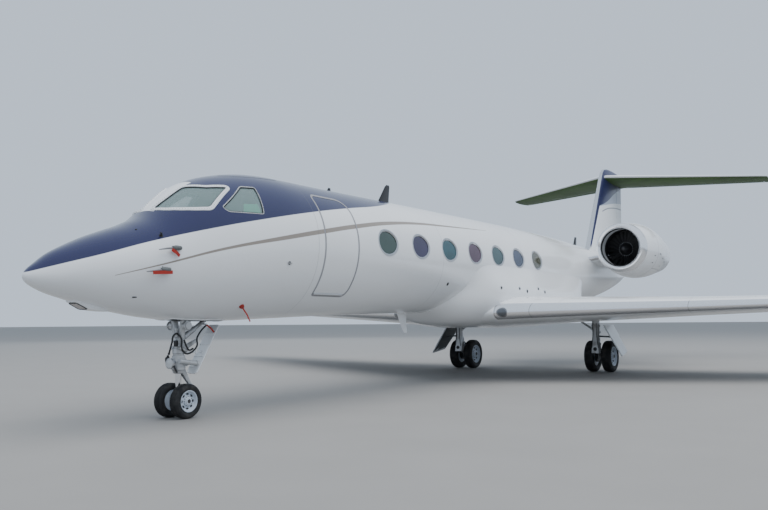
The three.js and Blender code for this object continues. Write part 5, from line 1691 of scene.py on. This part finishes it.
def main_legs():
    for name, side in SIDES.items():
        origin = np.array([side * MAIN_GEAR["x"], MAIN_GEAR["front"] + AFT, 0])
        leg = Shape().add(turned(MAIN_STRUT, origin, "z", 40)).bars(origin, MAIN_LEG, side)
        leg.piece(f"main_leg_casting_{name}", [ENAMEL], "root", [f"main_gear_leg_{name}"], "gear_steel")
        for kind, bars, finish, slot in (
            ("shock_rod", SHOCK_ROD, CHROME, "gear_steel"), ("brakes", BRAKES, GREASED, "gear_steel"),
            ("leg_bore_shade", MAIN_BORE_SHADE, PANEL_BLACK, None),
        ):
            Shape().bars(origin, bars).piece(f"main_{kind}_{name}", [finish], slot=slot)
        hoses = Shape()
        for way in (1, -1):
            hoses.add(tube(curved(origin + np.array(MAIN_HOSE) * (way, 1, 1)), 0.01, 10))
        hoses.piece(f"main_leg_hoses_{name}", [BLADE_BLACK], slot="panel_plastic")
        main_door(name, side)


def main_door(name, side):
    (top_x, top_z), front = MAIN_DOOR_TOP, MAIN_GEAR["front"] + AFT
    corners = [(side * (top_x + (top_z - z) * MAIN_DOOR_LEAN), y + AFT, z) for y, z in MAIN_DOOR]
    outline = resampled(rounded(corners, (0.01, 0.01, 0.06, 0.04)), 80)
    across = np.array([side * 0.03, 0, 0.012])
    away = across / np.linalg.norm(across)
    leaf, node = slab(outline, across), f"main_gear_door_{name}"
    made(f"main_door_leaf_{name}", leaf, WHITE_PAINT, "root", [node], "white_paint_composite")
    lining = grown(outline, -0.03, across) - away * 0.003
    made(f"main_door_lining_{name}", slab(lining, away * 0.006, 0.001), PRIMER)
    ribs = Shape()
    for share in (0.2, 0.55):
        spot = np.array([side * (top_x + 0.455 * share), AFT, top_z - 0.76 * share]) - away * 0.008
        ribs.add(beam(spot + (0, 15.7, 0), spot + (0, 16.3, 0), away, 0.02, 0.02))
    ribs.add(rod((side * (MAIN_GEAR["x"] + 0.08), front, 1.018), (side * 2.675, front, 1.0), 0.024))
    ribs.add(rod((side * 2.66, front - 0.04, 1.0), (side * 2.66, front + 0.04, 1.0), 0.03))
    ribs.piece(f"main_door_ribs_{name}", [PRIMER], slot="gear_steel")


def nose_bay():
    """Painted shade of the bay that the nose leg folds into: a thin black liner on the belly over the bay's
    mouth.
    """
    y0, y1 = NOSE_ORIGIN[1] - 0.32, NOSE_ORIGIN[1] + 0.78
    outline = rounded([(-0.2, y0, 1.4), (0.2, y0, 1.4), (0.2, y1, 1.4), (-0.2, y1, 1.4)], (0.05,) * 4)
    outline = resampled(outline, 64)
    made("nose_bay_painted_shade", pane(outline, (0, 0, -1), -0.004, 0.01), PANEL_BLACK)
    made("nose_bay_rim", ring_strip(outline, (0, 0, -1), MOULDINGS["nose_bay"]), WHITE_PAINT)


# Cabin, cockpit and door steps

FLOOR = {"front": 2.3, "low": 1.95, "rise": 0.19 / 15}
SEAT_SPOTS = [(0.45, 7.35 + 1.83 * i + (0.5 if i % 2 else 0), 1 if i % 2 else -1) for i in range(4)]
PILOT_SPOTS = [(0.42, 3.62, -1)]
SEAT_RAIL = (6.7, 14.9)  # stations
# Bars like the nose leg's, but their ends are x, distance ahead of the pedestal and height
SEAT_TRAY = [
    (beam, (0, -0.2, 0.33), (0, 0.27, 0.33), (0, 0, 1), 0.44, 0.05),
    (beam, (0, -0.27, 0.33), (0, -0.395, 1.1), (0, 1, 0), 0.42, 0.03),
]
SEAT_ARM = [
    (beam, (0.215, -0.26, 0.56), (0.215, 0.2, 0.55), (0, 0, 1), 0.05, 0.05),
    (beam, (0.215, -0.05, 0.33), (0.215, -0.05, 0.55), (0, 1, 0), 0.03, 0.2),
]
PAD_SIZES = {"seat": (0.185, 0.195, 0.045), "back": (0.185, 0.3, 0.042)}
PAD_SWELL = 0.024
PAD_STEPS = 20


def floor_at(station):
    return FLOOR["low"] + (station - FLOOR["front"]) * FLOOR["rise"] - 0.01


def pad_mesh(kind, half):
    """One cushion, blown up from a smaller box by cloth simulation, with a sewn channel or two."""
    x, y, _ = half
    box = rounded([(x, y), (-x, y), (-x, -y), (x, -y)], (0.05,) * 4, 5)
    levels = [(-half[2], 0.93), (-half[2] * 0.7, 1), (half[2] * 0.7, 1), (half[2], 0.93)]
    rings = [[(x * share, y * share, z) for x, y in box] for z, share in levels]
    pad = Shape().add(loft(rings)).piece(f"{kind}_pad", [LEATHER], body=None)
    remesh = pad.modifiers.new("even", "REMESH")
    remesh.mode, remesh.voxel_size = "VOXEL", 0.018
    evaluated(pad)
    start = vertices_of(pad.data)
    cloth = pad.modifiers.new("cloth", "CLOTH")
    cloth.settings.use_pressure = True
    cloth.settings.uniform_pressure_force = 4
    cloth.settings.effector_weights.gravity = 0
    for step in range(1, PAD_STEPS + 1):
        bpy.context.scene.frame_set(step)
    evaluated(pad)
    end = vertices_of(pad.data)
    bpy.context.scene.frame_set(1)
    move = end - start
    length = np.linalg.norm(move, axis=1, keepdims=True)
    end = start + move * np.minimum(1, PAD_SWELL / np.maximum(length, 1e-9))
    channels = (0.1,) if kind == "seat" else (0.12, -0.06)
    for line in channels:
        near = np.clip(1 - np.abs(end[:, 1] - line) / 0.026, 0, 1)
        end[:, 2] -= np.sign(end[:, 2]) * 0.012 * near**2
    pad.data.vertices.foreach_set("co", end.ravel())
    finer = pad.modifiers.new("finer", "SUBSURF")
    finer.levels = finer.render_levels = 1
    evaluated(pad)
    mesh = pad.data
    bpy.data.objects.remove(pad)
    return mesh


def seats():
    pads = {kind: pad_mesh(kind, half) for kind, half in PAD_SIZES.items()}
    for name, side in SIDES.items():
        for node, spots in ((f"cabin_seats_{name}", SEAT_SPOTS), (f"pilot_seat_{name}", PILOT_SPOTS)):
            frames = Shape()
            for i, (x, station, turn) in enumerate(spots):
                place = np.array([side * x, station + AFT, floor_at(station)])
                seat_frame(frames, place, turn)
                for kind, mesh in pads.items():
                    seat_pad(f"{node}_{kind}_{i + 1}", kind, mesh, place, turn)
            if len(spots) > 1:
                frames.add(seat_rail(side))
            frames.piece(f"{node}_frames", [SEAT_SHELL], nodes=[node], slot="panel_plastic")


def seat_rail(side):
    start, end = ((side * 0.45, s + AFT, floor_at(s) + 0.03) for s in SEAT_RAIL)
    return beam(start, end, (0, 0, 1), 0.06, 0.04)


def seat_frame(shape, place, turn):
    """Pedestal, tray, back shell and arms of one seat."""
    shape.add(tube([place + (0, 0, z) for z in (0.011, 0.05, 0.07, 0.32)], (0.16, 0.15, 0.06, 0.06), 20))
    shape.bars(place, SEAT_TRAY, 1, turn)
    for side in (-1, 1):
        shape.bars(place, SEAT_ARM, side, turn)


def seat_pad(name, kind, mesh, place, turn):
    """Pad of one seat: its own long side runs towards the knees, or up the back."""
    if kind == "seat":
        along, up, centre = (0, turn, 0.03), (0, -0.03 * turn, 1), (0, 0.065 * turn, 0.385)
    else:
        along, up, centre = (0, -0.2 * turn, 0.98), (0, 0.98 * turn, 0.2), (0, -0.275 * turn, 0.765)
    along, up = Vector(along).normalized(), Vector(up).normalized()
    across = along.cross(up)
    turn_to = Matrix((across, along, up)).transposed().to_4x4()
    copy = mesh.copy()
    copy.name = name
    copy.transform(Matrix.Translation(Vector(place + np.array(centre))) @ turn_to)
    pad = placed(name, copy)
    smooth(pad, 180)
    finished(pad, "root", (), "seat_leather")


def door_steps():
    """Treads that fold out with the entry door, with their grips, and its hinge."""
    tilt = math.radians(DOOR_OPEN)
    along, lift = np.array([math.cos(tilt), math.sin(tilt)]), np.array([-math.sin(tilt), math.cos(tilt)])
    crown, wide, keel, half = hull_section(5.6)
    depth, thick = TREADS["depth"], TREADS["thick"]
    y0, y1 = (y + AFT for y in TREADS["y"])
    steps, grips = Shape(), Shape()
    for i in range(TREADS["count"]):
        z = TREADS["first"] + TREADS["step"] * i
        rise = (crown - wide if z > wide else wide - keel) - SKIN
        x = (half - SKIN) * math.sqrt(1 - ((z - wide) / rise) ** 2) + 0.03
        foot = np.array([x, z])
        start, end = (foot + lift * thick / 2 + along * way for way in (0, depth))
        middle = (y0 + y1) / 2
        steps.add(beam((start[0], middle, start[1]), (end[0], middle, end[1]), (0, 1, 0), thick, y1 - y0))
        for share in (0.25, 0.45, 0.65, 0.85):
            gx, gz = foot + along * depth * share
            grips.add(rod((gx, y0 + 0.03, gz), (gx, y1 - 0.03, gz), 0.004, 8))
    ends = [(DOOR_HINGE["x"], y + AFT, DOOR_HINGE["z"]) for y in DOOR_HINGE["y"]]
    steps.add(rod(*ends, DOOR_HINGE["radius"]))
    steps.piece("entry_door_treads", [SATIN_METAL], "entry_door", slot="wheel_metal")
    grips.piece("entry_door_tread_grips", [PANEL_BLACK], "entry_door", slot="panel_plastic")


# Small things on the skin

PORTS = [(11.403, 2.259), (12.443, 2.269), (12.867, 2.216), (13.611, 2.296), (14.022, 2.228)]
# Probes: root and tip as x, station and height; the start of the streamer, its drift and its flat size
PROBES = [
    {"root": (0.765, 1.805, 2.52), "tip": (0.79, 1.525, 2.487), "flag": (-0.06, -0.035),
     "drift": (0.88, -0.47), "flat": (0.05, 0.17)},
    {"root": (0.725, 1.64, 2.22), "tip": (0.75, 1.355, 2.17), "flag": (-0.2, -0.05),
     "drift": (0.98, 0.06), "flat": (0.05, 0.36)},
]
VENT, VENT_STREAMER, PIN_STREAMER = (0.65, 3.303, 1.724), (0.028, 0.28), (0.03, 0.2)
ICE_PROBE, NOSE_VANE, DOOR_VANE = (0.628, 1.69, 2.71), (0.477, 1.398, 1.82), (1.105, 3.934, 2.428)
SPOTS = [  # dark ports flush with the skin: x, station, height and radius
    (1.2, 9.316, 2.212, 0.04), (*ICE_PROBE, 0.03), (0.379, 1.45, 2.792, 0.016), (*DOOR_VANE, 0.03),
]


def spot_on_hull(place, side=1):
    """Point on the skin below a rough place, as x, station and height, and the outward direction there."""
    x, station, z = place
    rough = np.array([[side * x, station + AFT, z]])
    seat = onto_hull(rough, hull_normal(rough)[0], 0.2)
    return seat[0], hull_normal(seat)[0]


def streamer(name, top, drift, flat):
    """Strip of red webbing that hangs from a cover, with a slow wave down its length."""
    width, length = flat
    rows = []
    for t in np.linspace(0, 1, 13):
        wave = 0.012 * math.sin(t * 5) * t
        rows.append(np.array(top) + np.array(drift) * t * length + np.array([wave, 0.4 * wave, 0]))
    side = np.cross(drift, (1, 0, 0))
    side *= width / 2 / np.linalg.norm(side)
    thick = np.array([0.0006, 0, 0])
    rings = [[p - side - thick, p + side - thick, p + side + thick, p - side + thick] for p in rows]
    made(name, loft(rings), SCARLET)


def probes():
    """Covered probes on both sides of the nose, with a red streamer on each cover."""
    for name, side in SIDES.items():
        for i, probe in enumerate(PROBES, 1):
            root, out = spot_on_hull(probe["root"], side)
            x, station, z = probe["tip"]
            tip, foot = np.array([side * x, station + AFT, z]), root + out * 0.05
            shape = Shape().add(beam(root - out * 0.01, foot, (0, 1, 0), (0.09, 0.05), (0.02, 0.016)))
            shape.add(tube([foot, (foot + tip) / 2 + out * 0.01, tip], (0.014, 0.013, 0.007), 12))
            shape.piece(f"air_data_probe_{i}_{name}", [SOOTED])
            path = [foot - (0, 0.04, 0), foot + (0, 0.02, 0.002), foot + (0, 0.11, 0.004)]
            cover = made(f"probe_cover_{i}_{name}", tube(path, (0.024, 0.036, 0.03), 14), PRIMER)
            start = foot + out * 0.02 + (0, *probe["flag"])
            drift = (0.04 * side, *probe["drift"])
            streamer(f"probe_streamer_{i}_{name}", start, drift, probe["flat"])
        vent_cover(name, side)


def vent_cover(name, side):
    """Red cover of the low vent behind the nose door, with its streamer."""
    seat, out = spot_on_hull(VENT, side)
    cap = tube([seat + out * lift for lift in (-0.004, 0.02, 0.04)], (0.042, 0.04, 0.026), 20)
    cover = made(f"vent_cover_{name}", cap, SCARLET)
    streamer(f"vent_streamer_{name}", seat + out * 0.035, (side * 0.1, 0.6, -0.79), VENT_STREAMER)


def skin_details():
    """Ports, vents and small vanes on the nose and the belly."""
    dark, pale = Shape(), Shape()
    for side in SIDES.values():
        for station, z in PORTS:
            ring = fairing_ring(station)
            port = ring[: len(ring) // 2]
            x = float(np.interp(z, port[:, 2], port[:, 0]))
            for shape, lift, radius in ((dark, 0.004, 0.042), (pale, 0.003, 0.055)):
                ends = [(side * (x + off), station + AFT, z) for off in (-0.01, lift)]
                shape.add(rod(*ends, radius, 20))
        for x, station, z, radius in SPOTS:
            seat, out = spot_on_hull((x, station, z), side)
            path = [seat + out * lift for lift in (-0.01, 0.004, 0.006)]
            dark.add(tube(path, (radius, radius, radius * 0.7), 20))
        seat, out = spot_on_hull(ICE_PROBE, side)
        dark.add(tube([seat, seat + out * 0.05, seat + out * 0.06 - (0, 0.03, 0)], (0.014, 0.012, 0.008), 12))
        seat, out = spot_on_hull(NOSE_VANE, side)
        dark.add(beam(seat - (0, 0.06, 0), seat + (0, 0.06, 0.01), out, 0.018, 0.012))
        seat, out = spot_on_hull(DOOR_VANE, side)
        pale.add(beam(seat + out * 0.012 - (0, 0.05, 0), seat + out * 0.012 + (0, 0.05, 0), out, 0.02, 0.012))
    dark.piece("flush_ports", [PANEL_BLACK], slot="panel_plastic")
    pale.piece("port_rings", [SATIN_METAL], slot="wheel_metal")
    sensor()


SENSOR = [
    (0.69, 1.752, 0.1), (0.713, 1.748, 0.112), (0.908, 1.655, 0.122), (0.93, 1.652, 0.122),
    (1.05, 1.637, 0.118), (1.16, 1.629, 0.1), (1.25, 1.627, 0.07), (1.33, 1.63, 0.03),
]  # station, lowest point and half width of the blister under the nose


def sensor():
    """Pale blister under the nose, with a dark window in its front face."""
    rows = []
    for station, low, half in SENSOR:
        top = hull_section(station)[2] + 0.03
        corners = [(half, top), (half, low), (-half, low), (-half, top)]
        outline = rounded(corners, (0.002, 0.02, 0.02, 0.002), 5)
        rows.append([(x, station + AFT, z) for x, z in outline])
    made("nose_sensor_blister", loft(rows), WHITE_PAINT)
    face = np.array([0, -0.43, -0.9])
    edges = [(-0.085, 0.735, 1.738), (0.085, 0.735, 1.738), (0.09, 0.89, 1.664), (-0.09, 0.89, 1.664)]
    outline = resampled(rounded([(x, y + AFT, z) for x, y, z in edges], (0.02,) * 4), 48)
    made("nose_sensor_window", slab(outline, face * 0.006, 0.001), SENSOR_GLASS, slot="window_glass")
    rim = grown(outline, 0.014, face)
    rings = [rim, rim + face * 0.009, outline + face * 0.009, outline, rim]
    made("nose_sensor_rim", loft(rings, caps=False), PANEL_BLACK, slot="panel_plastic")


# Blades: height, leading edge station, chord and thickness ratio
CROWN_BLADE = [
    (4.03, 8.1, 0.48, 0.12), (4.1, 8.15, 0.41, 0.12), (4.3, 8.3, 0.28, 0.11), (4.46, 8.42, 0.18, 0.1),
    (4.505, 8.48, 0.11, 0.08),
]
BELLY_BLADE = [
    (1.72, 8.84, 0.4, 0.1), (1.6, 8.9, 0.34, 0.1), (1.4, 9.02, 0.24, 0.1), (1.25, 9.12, 0.16, 0.09),
    (1.21, 9.17, 0.1, 0.07),
]
SMALL_BLADES = [
    [(4.02, 6.3, 0.16, 0.12), (4.1, 6.35, 0.1, 0.12), (4.14, 6.38, 0.06, 0.1)],
    [(4.02, 20.27, 0.3, 0.2), (4.2, 20.36, 0.24, 0.2), (4.4, 20.46, 0.17, 0.2)],
]


def blade(rows):
    return loft([foil_ring((0, y, z), chord, ratio, (1, 0)) for z, y, chord, ratio in rows])


def aerials():
    """Swept blades on the crown and the belly, and small masts."""
    made("crown_blade_aerial", blade(CROWN_BLADE), BLADE_BLACK, "root", ["crown_aerial"], "black_composite")
    belly = blade(BELLY_BLADE)
    made("belly_blade_aerial", belly, WHITE_PAINT, "root", ["belly_aerial"], "white_paint_composite")
    small = Shape()
    for rows in SMALL_BLADES:
        small.add(blade(rows))
    small.piece("small_aerials", [BLADE_BLACK], slot="black_composite")


CROWN_DOTS = [(0.2, 3.2, 3.8), (0.36, 3.5, 3.85), (0.435, 3.841, 3.898), (0.46, 4.3, 3.92)]


def crown_strip():
    """Dotted strip down each side of the crown, behind the windscreen."""
    for name, side in SIDES.items():
        rough = curved([(side * x, station + AFT, z) for x, station, z in CROWN_DOTS], 30)
        path = [spot_on_hull((x, y - AFT, z))[0] for x, y, z in rough]
        row_of(f"crown_dots_{name}", path, 46, 0.007, GREASED, closed=False)


SCREW_SEATS = {"windscreen": (0.028, 0.011), "side_window": (0.006, 0.006)}  # out from the edge, off the skin


def screw_rows():
    """Screws round the cockpit glass, both windows of each side."""
    for name, side in SIDES.items():
        for kind, outline, way in cockpit_openings(side):
            out, lift = SCREW_SEATS[kind]
            path = onto_hull(grown(outline, out, way), way)
            row_of(f"{kind}_screws_{name}", path + hull_normal(path) * lift, 72, 0.0055, GREASED)


def spot_on_cowl(side, along, degrees, lift):
    """Point off the skin of a cowl, that far aft of its lip and turned up from level, and the way out."""
    outside, angle = np.array(COWL), math.radians(degrees)
    radius = float(np.interp(along, outside[:, 1], outside[:, 0])) + lift
    out = np.array([side * math.cos(angle), 0, math.sin(angle)])
    return engine_at(side) + out * radius + (0, along, 0), out


def engine_details():
    """Latches and a drain mast on the outer face of each cowl."""
    for name, side in SIDES.items():
        marks = Shape()
        for along, degrees in LATCHES:
            spot, out = spot_on_cowl(side, along, degrees, 0.002)
            marks.add(beam(spot - (0, 0.07, 0), spot + (0, 0.07, 0), out, 0.03, 0.012))
        marks.piece(f"cowl_latches_{name}", [GREASED], slot="wheel_metal")
        spot, out = spot_on_cowl(side, *DRAIN_MAST, -0.01)
        mast = beam(spot, spot + out * 0.12 + (0, 0.06, 0), (0, 1, 0), (0.03, 0.02), (0.09, 0.05))
        made(f"drain_mast_{name}", mast, WHITE_PAINT)


def tail_exhaust():
    """Short sooty pipe of the auxiliary power unit, in the end of the tail cone."""
    pipe = [(0.001, -0.1), (0.125, -0.1), (0.118, 0.06), (0.1, 0.06), (0.095, -0.02), (0.001, -0.02)]
    made("tail_exhaust", turned(pipe, (0, TAIL_END + AFT, 3.46), "y", 40), SOOTED, slot="engine_metal")


def tip_lamps():
    """Lamps in the outer corners of the wing tips, red to port and green to starboard."""
    for name, side in SIDES.items():
        place = np.array([side * 13.66, 18.1 + AFT, 2.13])
        path = [place + (0, aft, up) for aft, up in ((-0.05, 0), (0, 0), (0.12, 0.01), (0.3, 0.02))]
        made(f"tip_lamp_{name}", tube(path, (0.012, 0.034, 0.04, 0.012), 16), NAVIGATION[name])


def sunshade():
    """Green shade behind the lower rear corner of the port side window."""
    corners = side_outline([(3.07, 3.185), (3.41, 3.2), (3.41, 3.37), (3.13, 3.345)], 1)
    outline = resampled(rounded(corners, (0.02,) * 4), 40)
    made("cockpit_sunshade", pane(outline, (1, 0, 0), 0.028, 0.002), SHADE_GREEN)


def dress_nodes():
    """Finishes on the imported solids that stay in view."""
    looks = {"cabin_floor": CARPET, "cockpit_bulkhead": LINING, "instrument_panel": PANEL_BLACK}
    for node, material in looks.items():
        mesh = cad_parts[node].data
        mesh.materials.clear()
        mesh.materials.append(material)


for build in (
    fuselage, entry_door, hull_trim, panes, belly_fairing, wings, tail, nacelles, pylons, cores_and_fans,
    wheels, nose_leg, nose_fork, nose_hoses, nose_door, main_legs, nose_bay, seats, door_steps, leg_streamer,
    probes, skin_details, aerials, crown_strip, screw_rows, engine_details, tip_lamps, tail_exhaust,
    sunshade, dress_nodes,
):
    build()
